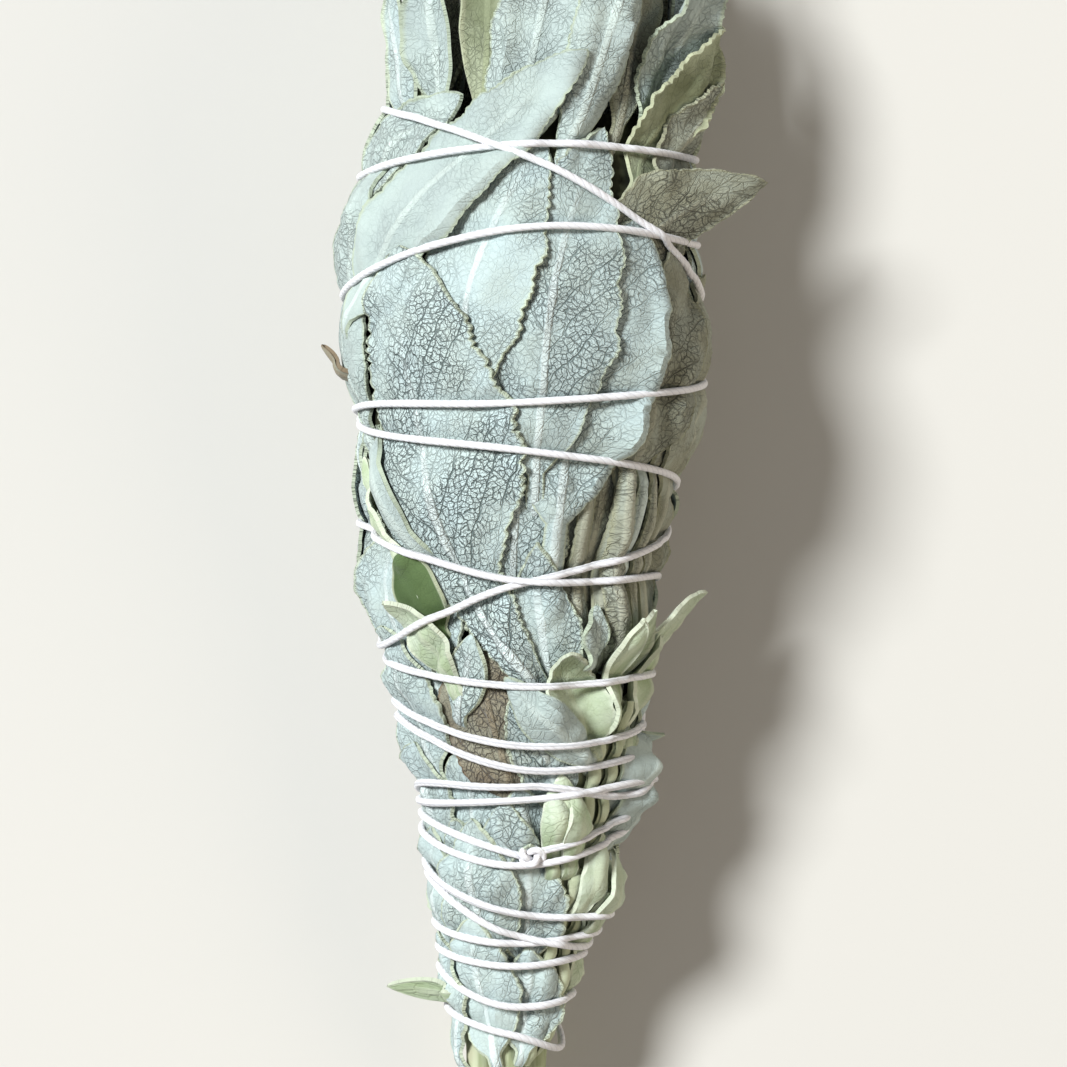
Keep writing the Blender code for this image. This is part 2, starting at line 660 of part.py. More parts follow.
def taut(along, angle, out, turns_of_slack):
    """Draws the string tight: where it would dip between two high places it goes straight across."""
    for _ in range(turns_of_slack):
        x, z = out * np.sin(angle), out * np.cos(angle)
        ax, az, bx, bz = x[:-2], z[:-2], x[2:], z[2:]
        across = (bx - ax) * np.cos(angle[1:-1]) - (bz - az) * np.sin(angle[1:-1])
        chord = (ax * bz - az * bx) / np.where(np.abs(across) < 1e-9, 1e-9, across)
        out[1:-1] = np.maximum(out[1:-1], np.abs(chord))
    return out


def string_turns():
    """How far round each point of the string is, in turns."""
    knots = knots_of_string()
    turns = [knots[0][0]]
    while turns[-1] < knots[-1][0]:
        radius = core_radius(string_route(np.array([turns[-1]])))[0]
        turns.append(turns[-1] + 1 / (WIDE_TURN_POINTS if radius > WIDE_TURN else TURN_POINTS))
    turns[-1] = knots[-1][0]
    return np.array(turns)


def raised_over(pile, along, angle, out, clear):
    """Raises a run of the string until the straight pieces between its points clear the pile."""
    between = np.linspace(0, 1, 9)[:, None]
    for _ in range(12):
        corners = on_stick(along, angle, out)
        spans = corners[None, :-1] * (1 - between[..., None]) + corners[None, 1:] * between[..., None]
        s_along, s_angle, s_out = from_stick(spans)
        short = np.clip(pile.top(s_along, s_angle) + clear - s_out, 0, None)
        weight = between**2 + (1 - between) ** 2
        raised = np.zeros(len(out))
        raised[:-1] = (short * (1 - between) / weight).max(0)
        raised[1:] = np.maximum(raised[1:], (short * between / weight).max(0))
        out = out + raised
    return out


def make_string(pile):
    """The cotton string: one length wound up the stick and down again, each turn over what it crosses."""
    turns = string_turns()
    along, angle = string_route(turns), 2 * math.pi * turns
    clear = STRING / 2 + STRING_GAP
    out = pile.top(along, angle) + clear
    out = np.minimum(taut(along, angle, out.copy(), 60), out + STRING_SPAN)
    out = raised_over(pile, along, angle, out, clear)
    waiting = []
    for start in range(0, len(turns) - 1, STRING_RUN):
        own = np.arange(max(start - 1, 0), min(start + STRING_RUN + 1, len(turns)))
        out[own] = raised_over(pile, along[own], angle[own], out[own], clear)
        waiting.append(tube_points(on_stick(along[own], angle[own], out[own])))
        if len(waiting) > 2:
            pile.lay(waiting.pop(0))
    curve = bpy.data.curves.new("string", "CURVE")
    curve.dimensions = "3D"
    curve.bevel_depth = STRING / 2
    curve.bevel_resolution = 1
    curve.use_fill_caps = True
    spline = curve.splines.new("POLY")
    path = on_stick(along, angle, out)
    spline.points.add(len(path) - 1)
    for point, place in zip(spline.points, path):
        point.co = (*place, 1)
    curve.materials.append(material(COTTON))
    piece = bpy.data.objects.new("string", curve)
    bpy.context.collection.objects.link(piece)
    return piece, path


def tube_points(line):
    """Points on the surface of the string along a line."""
    steps = np.linspace(0, 1, 8)[:, None, None]
    middle = (line[None, :-1] * (1 - steps) + line[None, 1:] * steps).reshape(-1, 3)
    ring = np.linspace(0, 2 * math.pi, 8, endpoint=False)
    rim = np.stack([0 * ring, np.cos(ring), np.sin(ring)], -1) * STRING / 2
    rim_across = np.stack([np.cos(ring), 0 * ring, np.sin(ring)], -1) * STRING / 2
    return np.concatenate([middle[:, None] + rim, middle[:, None] + rim_across])


def tie_knot(string, path):
    """Turns the string into a mesh, and adds the knot that its two ends run into."""
    bpy.context.view_layer.update()
    graph = bpy.context.evaluated_depsgraph_get()
    mesh = bpy.data.meshes.new_from_object(string.evaluated_get(graph))
    bpy.data.objects.remove(string)
    shape = bmesh.new()
    shape.from_mesh(mesh)
    bmesh.ops.remove_doubles(shape, verts=shape.verts, dist=WELD)
    shape.to_mesh(mesh)
    shape.free()
    piece = bpy.data.objects.new("string", mesh)
    bpy.context.collection.objects.link(piece)
    middle = (path[0] + path[-1]) / 2
    bpy.ops.mesh.primitive_uv_sphere_add(segments=10, ring_count=7, radius=0.5, location=middle)
    knot = bpy.context.object
    knot.scale = KNOT
    bpy.ops.object.transform_apply(location=False, rotation=False, scale=True)
    join_to(piece, [knot])
    return piece


# Assembly


def material(colour):
    name = "colour_" + "_".join(f"{round(c * 100)}" for c in colour)
    found = bpy.data.materials.get(name)
    if found:
        return found
    made = bpy.data.materials.new(name)
    made.use_nodes = True
    shader = made.node_tree.nodes["Principled BSDF"]
    shader.inputs["Base Color"].default_value = (*colour, 1)
    shader.inputs["Roughness"].default_value = 0.9
    return made


def bulged(points):
    """Points moved down where the leaves underneath bulge out between the turns of string."""
    row, column, _, _ = cell(points[:, 1], np.full(len(points), math.pi))
    share = np.interp(points[:, 1] / MM, *np.array(BELLY_ALONG, float).T)
    free = share * np.minimum(1, BELLY_FLATNESS * (1 - STRING_BITE[row, column] / bite_depth(math.pi)))
    low = np.clip(1 - points[:, 2] / BELLY_DEPTH, 0, 1.2)
    down = np.maximum(0, -np.cos(from_stick(points)[1]))
    return points - np.stack([0 * free, 0 * free, BELLY * free * low * down], -1)


def bulge(pieces):
    """Bulges the leaves, so that the stick doesn't lie on its string, and returns the new pile."""
    pile = Pile()
    for piece in pieces:
        points = bulged(np.array([v.co for v in piece.data.vertices]))
        for vertex, place in zip(piece.data.vertices, points):
            vertex.co = place
        pile.lay(surface_points(*finished_mesh(piece)))
    return pile


def set_down(pieces):
    """Moves the stick so that its lowest points are at z = 0 and its box is centred over the origin."""
    points = {piece.name: np.array([v.co for v in piece.data.vertices]) for piece in pieces}
    lowest = min(p[:, 2].min() for name, p in points.items() if name != "string")
    together = np.concatenate(list(points.values()))
    middle = (together.min(0) + together.max(0)) / 2
    for piece in pieces:
        along = points[piece.name][:, 1]
        moved = points[piece.name] - (middle[0], middle[1], lowest)
        if piece.name != "string":
            reach = np.where((along > REST_SPOT[0]) & (along < REST_SPOT[1]), REST_FLAT, FOOT_FLAT)
            faces_down = np.array([v.normal.z < -0.4 for v in piece.data.vertices])
            moved[:, 2] = np.where((moved[:, 2] < reach) & faces_down, 0, moved[:, 2])
        for vertex, place in zip(piece.data.vertices, moved):
            vertex.co = place


def nearest_sprig(angle):
    return RING_NAMES[int(round((angle % 360) / 60)) % 6]


def main():
    for old in list(bpy.data.objects):
        bpy.data.objects.remove(old)
    pile = Pile()
    sprigs, grown = {}, {}
    sprigs["centre"] = make_sprig("centre", None, pile, CENTRE_CUT)
    for number, name in enumerate(RING_NAMES):
        cut = LONGEST_CUT * (number * 5 % 7) / 6
        sprigs[name] = make_sprig(name, math.radians(60 * number), pile, cut)
        grown[name] = []
    grown["centre"] = []
    for owner, leaf, share in inner_tuft():

        def inside(along, angle, share=share):
            return share * packed(along, angle)

        grown[owner].append(make_leaf(leaf, Pile(), inside, inside))
    for row, front in enumerate((TUFT, UPPER, MIDDLE, LOWER, TAIL, STANDING_OUT)):
        for leaf in (*front, *back_leaves(row)):
            blade = make_leaf(leaf, pile)
            if leaf.kind == "sprig":
                grown[nearest_sprig(leaf.foot[0])].append(blade)
    for name, sprig in sprigs.items():
        join_to(sprig, grown[name])
    string, path = make_string(bulge(list(bpy.data.objects)))
    tie_knot(string, path)
    set_down([piece for piece in bpy.data.objects if piece.type == "MESH"])


main()
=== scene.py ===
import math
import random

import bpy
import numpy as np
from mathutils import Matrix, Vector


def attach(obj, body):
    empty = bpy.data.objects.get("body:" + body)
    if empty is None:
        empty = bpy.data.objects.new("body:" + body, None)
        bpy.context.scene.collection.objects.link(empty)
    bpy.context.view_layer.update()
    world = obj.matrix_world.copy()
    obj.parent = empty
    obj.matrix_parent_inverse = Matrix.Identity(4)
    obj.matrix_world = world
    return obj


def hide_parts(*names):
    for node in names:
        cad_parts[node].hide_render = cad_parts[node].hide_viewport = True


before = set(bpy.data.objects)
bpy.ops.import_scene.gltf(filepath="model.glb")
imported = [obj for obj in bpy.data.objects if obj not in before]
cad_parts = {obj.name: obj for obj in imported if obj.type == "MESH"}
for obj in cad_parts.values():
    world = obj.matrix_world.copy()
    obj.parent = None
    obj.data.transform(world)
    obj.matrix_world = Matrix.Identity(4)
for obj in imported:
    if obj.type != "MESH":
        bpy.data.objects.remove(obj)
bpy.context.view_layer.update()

# A sage smudge stick: every leaf has its toothed blade, midrib and net of veins, the sprigs have cut
# stems, and the cotton string is twisted and pulled into the leaves. A place on the stick is given, as
# in the CAD, by how far along it is, its angle round from the top (positive to the right) and its
# distance out from the stick's own axis.

MM = 0.001

# The stick's outline: place along it, its middle's drift to the right and its half width, in mm
OUTLINE = (
    (-80, -2.0, 7.0), (-64, -1.9, 7.4), (-56, -1.6, 8.3), (-50, -1.4, 9.2), (-44, -0.5, 11.0),
    (-32, 0.3, 13.4), (-20, 0.0, 15.9), (-8, -1.0, 17.0), (4, -0.6, 19.0), (16, 0.5, 21.2),
    (28, 0.2, 21.7), (40, 0.5, 20.9), (52, 2.2, 17.9), (64, 2.8, 17.0), (84, 2.8, 15.0),
)
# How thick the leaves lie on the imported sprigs, here and in the CAD, and under them, by place along, in mm
LEAF_COVER = ((-80, 1.0), (-56, 1.7), (-30, 2.2), (60, 2.2), (84, 2.2))
CAD_COVER = ((-80, 1.2), (-56, 2.0), (-30, 2.8), (60, 3.0), (84, 3.0))
UNDERLAY = ((-80, 4.6), (-40, 4.2), (-15, 3.0), (84, 3.0))
FULLER, FULLER_SHARE = 0.2 * MM, 0.035  # the top and the sides are packed this much fuller than the underside
HEIGHT_SHARE, FLATTENED = 0.94, 0.07  # height as a share of width, and what is flat underneath
SET_DOWN = (3.613 * MM, 4.248 * MM, -2.758 * MM)  # the CAD's middle and ground on the outline's axes

BITE, BITE_REACH = 0.8 * MM, 3.0 * MM  # how far the string presses the leaves in, and how far along
BITE_BELOW, BITE_REACH_BELOW = 1.3 * MM, 2.0 * MM
PINCH, PINCH_REACH = 0.32 * MM, 0.9 * MM  # the sharp crease right under the string
# The underside sags, and bulges further between the turns of string, up to this height and along these places
SAG, BELLY, BELLY_FLATNESS, BELLY_DEPTH = 2.9 * MM, 1.8 * MM, 1.5, 9 * MM
BELLY_ALONG = ((-30, 0), (-18, 0.76), (-5, 0.86), (14, 1), (26, 1.3), (40, 1.3), (52, 0))

BLADE = 0.42 * MM  # thickness of a leaf
CLEAR = 0.06 * MM  # gap between a leaf and what it lies on
FOOT_DIP = 1.3 * MM  # how far a leaf's foot is sunk in
OVERLAY = 1.5 * MM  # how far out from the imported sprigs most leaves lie
MEAN_RADIUS = 18  # of the whole stick, in mm
TOOTH, TOOTH_PITCH = 0.32 * MM, (1.15, 1.4)  # depth of the teeth, and from one to the next in mm
FEWEST_ROWS, MOST_ROWS = 14, 170  # rows of points along a leaf
NARROW_LEAF, MIDDLING_LEAF, BROAD_LEAF = 6, 8, 10  # a wider leaf has a midrib, side veins, a pillow; in mm
STRING_MARGIN, FREE_SHARE = 2.0 * MM, 0.35  # how far past its last string, and at what share, a leaf may lift
SOFT_LANDING = 0.12 * MM  # what would reach the ground is pressed flat over this height
GROUND_GAP = 0.02 * MM
STRING = 0.9 * MM  # thickness of the string
STRING_SIDES, STRING_STEP, STRING_LAY = 12, 0.4 * MM, 3.4 * MM  # the lay is the length of one twist
STRING_DELAY = 30  # steps after which the string counts as something that its later turns cross over
SPRIG_SIDES, BARE_STEM_END = 24, -55 * MM

ALONG_STEP, ROUND_STEP = 0.4 * MM, math.radians(1.25)
ALONG_START, ALONG_END = -84 * MM, 92 * MM


class Leaf:
    """Where a leaf lies: its foot, the point that its midrib bends towards and its tip.

    Each is (degrees round from the top, mm along). The width and the lift of its tip are in mm. What else
    shapes it: own (a node of its own), net (how strong its veins are), teeth, wave and lean (of its edges),
    cup (its middle up, or its edges where below 0), pillow, roll_right (a rolled edge), stalk (its share of
    the length), neck (how much narrower its lower part is) and shape (where it is widest, and how blunt).
    """

    def __init__(self, name, foot, bend, tip, width, lift=0, finish="felt", **more):
        self.name, self.foot, self.bend, self.tip = name, foot, bend, tip
        self.width, self.lift, self.finish, self.more = width, lift, finish, more


POINTED, OVAL, TONGUE = (0.82, 0.85), (0.95, 0.66), (0.85, 0.5)

TUFT = (
    Leaf("tuft_left_1", (-62, 44), (-72, 58), (-84, 74), 6.6, 3.5, cup=-1.5, shape=POINTED, net=0.5),
    Leaf("tuft_left_2", (-46, 45), (-52, 60), (-58, 76), 5.8, 1.8, "smooth", cup=-1.8, shape=POINTED),
    Leaf("tuft_left_3", (-22, 45), (-28, 60), (-24, 78), 6.2, 1.2, "olive", cup=-2, shape=POINTED),
    Leaf("tuft_mid_2", (17, 46), (18, 60), (28, 80), 6.8, 1, "smooth", cup=-1.6, shape=POINTED),
    Leaf("tuft_right_1", (52, 45), (48, 56), (84, 68), 9, 5, "smooth", cup=-1.3, shape=POINTED, teeth=1.8),
    Leaf("tuft_mid_1", (-8, 40), (-11, 56), (16, 80), 11, 0.8, "smooth", roll_right=1.5, shape=POINTED),
    Leaf("tuft_roll", (12, 41), (18, 57), (50, 84), 8, 1.4, "smooth", cup=2.6, pillow=0),
    Leaf("tuft_right_2", (42, 39), (48, 48), (86, 61), 8.6, 2.6, "olive", cup=-1.6, teeth=1.8),
    Leaf("tuft_right_3", (62, 34), (55, 44), (84, 54), 8.6, 1.8, "shaded", wave=0.5, teeth=1.8),
)
UPPER = (
    Leaf("top_left_fold", (-78, 34), (-85, 45), (-34, 52), 9, 0.3, "smooth", own=True, roll_right=0.8),
    Leaf("right_tip", (38, 22), (40, 36.5), (79, 42), 15, 9, "shaded", own=True, net=1.1, shape=POINTED),
    Leaf("left_edge", (-76, 8), (-86, 28), (-66, 44), 11, 0, "smooth", roll_right=0.7),
)
MIDDLE = (
    Leaf("right_outer", (66, -15), (62, 4), (90, 31), 14, 0, "shaded", net=0.35, stalk=0.46),
    Leaf("right_inner", (48, -16), (30, 10), (66, 34), 13, 0, "shaded", net=0.8, stalk=0.46),
    Leaf("centre_right", (20, -17), (4, 14), (45, 37), 16, net=0.7, stalk=0.3, roll_right=1.4),
    Leaf("centre_upper", (8, 2), (-3, 24), (29, 48), 16, 0.2, teeth=1.4, net=0.9),
    Leaf("upper_left", (-22, 10), (-26, 32), (6, 46), 15, 0.2, net=0.45, teeth=1.8),
    Leaf("top_sweep", (-78, 22), (-52, 38), (15, 57), 12, 1, "smooth", own=True, roll_right=1.3, net=0.3),
    Leaf("low_mid_2", (18, -20), (11, -13), (9, -1), 9, 0.2, own=True, net=0.9, shape=POINTED),
    Leaf("young_3", (72, -20), (74, -14), (84, -6.8), 7.5, 6, "young"),
    Leaf("young_2", (52, -22), (52, -15), (58, -9), 5, 2, "young"),
    Leaf("low_left_curl", (-52, -22), (-68, -10), (-56, 1), 13, 0.3, cup=-1.2, net=0.5),
    Leaf("brown", (-4, -34), (-16, -22), (-20, -12), 14.5, 0, "withered", own=True),
    Leaf("cover_left", (36, -25), (-49, -9), (-46, 34), 21, 0.2,
         own=True, net=1.2, teeth=2.2, neck=0.5, lean=0.22, shape=(1.5, 0.5)),
)
LOWER = (
    Leaf("small_2", (-32, -23), (-25, -18), (-19, -12), 5.5, 0.4, own=True, cup=0.5),
    Leaf("small_1", (-28, -20), (-38, -13), (-50, -8), 5, 2.2, "young", own=True, cup=-0.8),
    Leaf("young_1", (40, -28), (24, -21), (20, -14), 8, 2.6, "young", own=True, cup=-1.2),
    Leaf("low_left_2", (-52, -31), (-72, -22), (-66, -11), 13, net=0.6),
    Leaf("under_mid", (28, -34), (10, -27), (-3, -19), 8.5, 0.2, net=1),
    Leaf("low_mid_1", (38, -28), (12, -24), (-6, -17), 5.5, 0.4, "smooth", own=True, cup=1, net=0.4),
    Leaf("roll_right", (62, -33), (70, -29), (84, -24), 8, 3, "smooth", own=True, cup=3, net=0.4),
    Leaf("spotted", (10, -41), (1, -36), (-3, -30), 7, 0.3, own=True, net=0.8),
    Leaf("bud", (28, -39), (24, -34), (19, -29), 5, 1.6, "young", own=True, cup=1.4),
    Leaf("left_low_mid", (-58, -41), (-76, -34), (-68, -25), 11, net=0.5),
)
TAIL = (
    Leaf("right_low_1", (72, -51), (68, -44), (50, -37), 6, 1.2, "young", cup=0.6),
    Leaf("tail_3", (-60, -51), (-74, -44), (-66, -35), 10, net=0.5),
    Leaf("tail_1", (20, -53), (6, -46), (3, -37), 9, 0.2, net=0.6),
    Leaf("tail_2", (-12, -54), (-32, -45), (-30, -34), 10.5, net=0.5),
    Leaf("right_low_2", (74, -57), (86, -50), (52, -43), 6, 0.8, "young", cup=0.6),
    Leaf("tail_5", (18, -64), (24, -58), (12, -50), 9, 0.3, net=0.5),
    Leaf("tail_4", (-10, -65), (-28, -57), (-30, -46), 10, net=0.4),
    Leaf("tail_6", (-62, -65), (-74, -57), (-66, -48), 8, net=0.5),
)
STANDING_OUT = (Leaf("tail_tip", (-60, -56.2), (-76, -55.2), (-88, -54.6), 3.2, 6.5, "young", own=True),)
# Leaves that are laid before those of a batch, and small ones that are laid after them, by the batch's number
UNDER = {
    0: (
        Leaf("tuft_low_1", (-70, 42), (-60, 58), (-66, 81), 6.5, 0.4, "olive", shape=POINTED, cup=-1),
        Leaf("tuft_low_2", (34, 44), (40, 58), (58, 80), 6.5, 0.6, "shaded", shape=POINTED, cup=-1),
        Leaf("tuft_low_3", (70, 40), (72, 54), (74, 76), 6.5, 0.4, shape=POINTED, cup=-1.2),
    ),
    2: (
        Leaf("right_base_1", (30, -20), (34, -4), (36, 14), 15, 0, "shaded", net=0.6),
        Leaf("right_base_2", (62, -20), (64, -4), (68, 14), 13, 0, "shaded", net=0.5),
        Leaf("left_base", (-44, -24), (-52, -8), (-50, 10), 14, net=0.6),
        Leaf("middle_base", (4, -40), (-6, -28), (-8, -14), 15, net=0.8),
        Leaf("left_low_base", (-26, -46), (-34, -36), (-30, -24), 13, net=0.6),
        Leaf("mid_base", (2, -16), (-2, -2), (2, 18), 13, net=0.9),
        Leaf("strip_1", (30, -18), (22, 6), (36, 30), 7.5, 0, "shaded", net=0.6, stalk=0.5),
        Leaf("strip_2", (40, -17), (38, 4), (54, 28), 7.5, 0, "shaded", net=0.4, stalk=0.5),
        Leaf("strip_4", (49, -17), (45, 4), (64, 27), 6, 0, "smooth", net=0.4, stalk=0.5),
        Leaf("strip_3", (58, -16), (50, 4), (78, 27), 7.5, 0, "shaded", net=0.4, stalk=0.5),
    ),
    3: (
        Leaf("right_low_base", (44, -42), (46, -30), (44, -18), 14, 0, "olive", net=0.4),
        Leaf("stem_1", (32, -40), (40, -33), (42, -18), 1.9, 0, "stalk", cup=0.6),
        Leaf("stem_2", (46, -39), (50, -32), (56, -20), 1.7, 0, "stalk", cup=0.6),
    ),
    4: (
        Leaf("tail_base_1", (-4, -60), (-8, -50), (-10, -32), 13, net=0.7),
        Leaf("tail_base_2", (50, -60), (48, -50), (46, -36), 11, 0, "olive", net=0.4),
        Leaf("tail_base_3", (-40, -60), (-44, -50), (-42, -34), 11, net=0.5),
        Leaf("stem_3", (30, -64), (34, -54), (38, -40), 1.9, 0, "stalk", cup=0.6),
        Leaf("stem_4", (50, -63), (52, -52), (52, -42), 1.8, 0, "stalk", cup=0.6),
    ),
}
SMALL = {
    2: (
        Leaf("left_twig", (-80, 19), (-83, 21), (-85, 22.6), 1.6, 1.6, "withered", cup=0.6, net=0.2),
        Leaf("left_strip_1", (-38, -3), (-54, 3), (-69, 13), 3.4, 0.2, "smooth", cup=0.7, net=0.3),
        Leaf("left_strip_2", (-44, -4), (-62, 1), (-77, 9), 3.2, 0.2, "young", cup=0.7),
        Leaf("hollow", (-34, -13), (-42, -8), (-46, -2), 6, 0, "backlit", net=0.3),
    ),
    3: (
        Leaf("teal_bud", (32, -16), (33, -13), (35, -8.5), 3.6, 0.4, "smooth", cup=0.6),
        Leaf("folded_young", (46, -24), (43, -17), (48, -10), 3.8, 1.6, "young", cup=-1.2),
        Leaf("curl_right", (62, -26), (70, -19), (66, -12), 4.5, 1.2, "young", cup=-1),
        Leaf("roll_right_low", (66, -38), (74, -34), (86, -29), 7, 2.2, "smooth", cup=2.6, net=0.4),
    ),
    4: (
        Leaf("fold_1", (22, -41), (19, -37), (14, -31), 3.4, 0.8, "young", cup=1.3),
        Leaf("fold_2", (31, -41), (29, -37), (25, -31), 3.4, 0.9, "young", cup=1.3),
        Leaf("fold_3", (42, -46), (44, -42), (50, -36), 3.4, 0.6, "young", cup=1),
        Leaf("fold_4", (58, -49), (62, -44), (60, -38), 3.4, 0.6, "young", cup=0.9),
    ),
}

# The far side and the underside, in rows up the stick: place along, angles round, length and width in mm
BACK_ROWS = (
    ((31, (180,), 43, 15.0), (33, (112, 142, 220, 249), 44, 13.0)),
    ((9, (180,), 28, 18.0), (8, (128, 232), 44, 15.5)),
    ((-8, (180,), 26, 17.0), (-18, (112, 140, 222, 248), 38, 12.0)),
    ((-28, (180,), 26, 14.5), (-40, (130, 230), 32, 12.0)),
    ((-62, (180,), 40, 9.5), (-62, (118, 242), 25, 8.5)),
)
SIDE_STARTS = (-60, -46, -30, -12, 6, 24, 38)  # where the leaves low on both sides start
INNER_RINGS = ((0.40, 10, "smooth"), (0.60, 12, "smooth"), (0.80, 13, "shaded"))  # how far out, width, finish
RING_NAMES = ("top", "top_right", "low_right", "underside", "low_left", "top_left")

# The string's passes over the front, from left edge over the top to right edge, in mm along
PASSES = (
    (-39.2, -45.4, -45.8), (-46.6, -49.1, -47.6), (-49.6, -51.9, -50.6), (-52.2, -56.8, -55.5),
    (-57.2, -60.2, -61.7), (-40.9, -48.0, -49.1), (-30.6, -30.1, -27.9), (-12.8, -6.2, 0.4),
    (14.8, 15.4, 18.3), (28.4, 35.9, 34.6), (42.6, 45.9, 44.9), (51.1, 44.2, 28.6),
    (13.2, 9.8, 5.9), (1.3, -5.5, -5.2), (-14.5, -18.1, -16.7), (-20.0, -25.2, -22.9),
    (-21.8, -28.1, -26.4), (-32.1, -31.7, -29.5), (-35.2, -39.6, -34.8),
)
UNDERNEATH = {8: 9.8, 14: 0.6}  # where two of its turns pass underneath; the others run evenly
KNOT_PLACE, FIRST_RIGHT, LAST_LEFT = -38.1, -33.2, -33.6


# The stick's outline and axis


def smooth_through(rows, column, at):
    """A curve through one column of a table whose first column rises, read at some places."""
    table = np.array(rows, float) * MM
    xs, ys = table[:, 0], table[:, column]
    return hermite(xs, ys, np.clip(at, xs[0], xs[-1]))


def hermite(xs, ys, at):
    slopes = np.gradient(ys, xs)
    i = np.clip(np.searchsorted(xs, at) - 1, 0, len(xs) - 2)
    width = xs[i + 1] - xs[i]
    t = (at - xs[i]) / width
    start = (1 + 2 * t) * (1 - t) ** 2 * ys[i] + t * (1 - t) ** 2 * width * slopes[i]
    end = t * t * (3 - 2 * t) * ys[i + 1] + t * t * (t - 1) * width * slopes[i + 1]
    return start + end


def core_radius(along):
    return smooth_through(OUTLINE, 2, along) - smooth_through(LEAF_COVER, 1, along)


def axis_height(along):
    """Height of the stick's axis, the same as the CAD's."""
    cad_radius = smooth_through(OUTLINE, 2, along) - smooth_through(CAD_COVER, 1, along)
    return cad_radius * HEIGHT_SHARE * (1 - FLATTENED) + smooth_through(UNDERLAY, 1, along)


def on_stick(along, angle, out):
    """Points in space, from their place along the stick, angle round it and distance out."""
    x = smooth_through(OUTLINE, 1, along) + out * np.sin(angle)
    return np.stack([x, along, axis_height(along) + out * np.cos(angle)], -1)


def packed(along, angle):
    """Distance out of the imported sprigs' surface: an oval, flattened underneath."""
    wide = core_radius(along)
    high = wide * HEIGHT_SHARE
    oval = wide * high / np.hypot(high * np.sin(angle), wide * np.cos(angle))
    down = np.maximum(-np.cos(angle), 1e-3)
    fuller = (FULLER + FULLER_SHARE * wide) * np.clip(1 + 1.5 * np.cos(angle), 0, 1)
    return np.minimum(oval, high * (1 - FLATTENED) / down) + fuller


# The string's route


def knots_of_string():
    """(turns, place along) of the points that the string passes through."""
    knots = [(0.02, KNOT_PLACE), (0.25, FIRST_RIGHT)]
    for number, (left, top, right) in enumerate(PASSES, 1):
        below = UNDERNEATH.get(number, (knots[-1][1] + left) / 2)
        knots += [(number - 0.5, below), (number - 0.25, left), (number, top), (number + 0.25, right)]
    last = len(PASSES) + 1
    knots += [(last - 0.5, (knots[-1][1] + LAST_LEFT) / 2), (last - 0.25, LAST_LEFT),
              (last + 0.01, KNOT_PLACE - 0.6)]
    return np.array(knots)


def string_route(turns):
    """Place along the stick at each number of turns since the start."""
    knots = knots_of_string()
    return hermite(knots[:, 0], knots[:, 1] * MM, turns)


# The heap of what has been laid so far


ROWS = int(round((ALONG_END - ALONG_START) / ALONG_STEP))
COLUMNS = int(round(2 * math.pi / ROUND_STEP))


def underneath(angle):
    return np.maximum(0, -np.cos(angle)) ** 2


def pressed_by_string(depth, depth_below, reach, reach_below):
    """How far the string presses in the leaves, over the grid."""
    bite = np.zeros((ROWS, COLUMNS))
    places = ALONG_START + ALONG_STEP * np.arange(ROWS)
    first, last = knots_of_string()[[0, -1], 0]
    turns = np.arange(first, last, ROUND_STEP / (2 * math.pi))
    at_turns, angle = string_route(turns), 2 * math.pi * turns
    for at, here, low in zip(at_turns, nearest_cell(at_turns, angle)[1], underneath(angle)):
        near = np.exp(-(((places - at) / (reach + reach_below * low)) ** 2))
        bite[:, here] = np.maximum(bite[:, here], (depth + depth_below * low) * near)
    return bite


def read_grid(grid, along, angle):
    """A grid's values between its points."""
    row = np.clip((along - ALONG_START) / ALONG_STEP, 0, ROWS - 1.001)
    column = np.mod(angle, 2 * math.pi) / ROUND_STEP
    r, c = np.floor(row).astype(int), np.floor(column).astype(int)
    fr, fc = row - r, column - c
    c, d = c % COLUMNS, (c + 1) % COLUMNS
    low = grid[r, c] * (1 - fc) + grid[r, d] * fc
    high = grid[r + 1, c] * (1 - fc) + grid[r + 1, d] * fc
    return low * (1 - fr) + high * fr


def blurred(grid):
    grid = (np.roll(grid, 1, 1) + 2 * grid + np.roll(grid, -1, 1)) / 4
    padded = np.pad(grid, ((1, 1), (0, 0)), mode="edge")
    return (padded[:-2] + 2 * grid + padded[2:]) / 4


class Heap:
    """How far out the pieces laid so far reach, on a grid along and round the stick."""

    def __init__(self, start):
        self.reach = start.copy()

    def bed(self, turns):
        """The surface that a soft leaf takes when it is laid on the heap."""
        bed = self.reach
        for _ in range(turns):
            bed = np.maximum(self.reach, blurred(bed))
        return bed

    def lay(self, along, angle, out):
        np.maximum.at(self.reach, nearest_cell(along.ravel(), angle.ravel()), out.ravel())


def nearest_cell(along, angle, margin=0):
    row = np.clip(np.round((along - ALONG_START) / ALONG_STEP).astype(int), margin, ROWS - 1 - margin)
    return row, np.round(np.mod(angle, 2 * math.pi) / ROUND_STEP).astype(int) % COLUMNS


GRID_ALONG, GRID_ANGLE = np.meshgrid(
    ALONG_START + ALONG_STEP * np.arange(ROWS), ROUND_STEP * np.arange(COLUMNS), indexing="ij"
)
STRING_BITE = pressed_by_string(BITE, BITE_BELOW, BITE_REACH, BITE_REACH_BELOW)
STRING_PINCH = pressed_by_string(PINCH, 0, PINCH_REACH, 0)
BITE_DEEPEST = BITE + BITE_BELOW


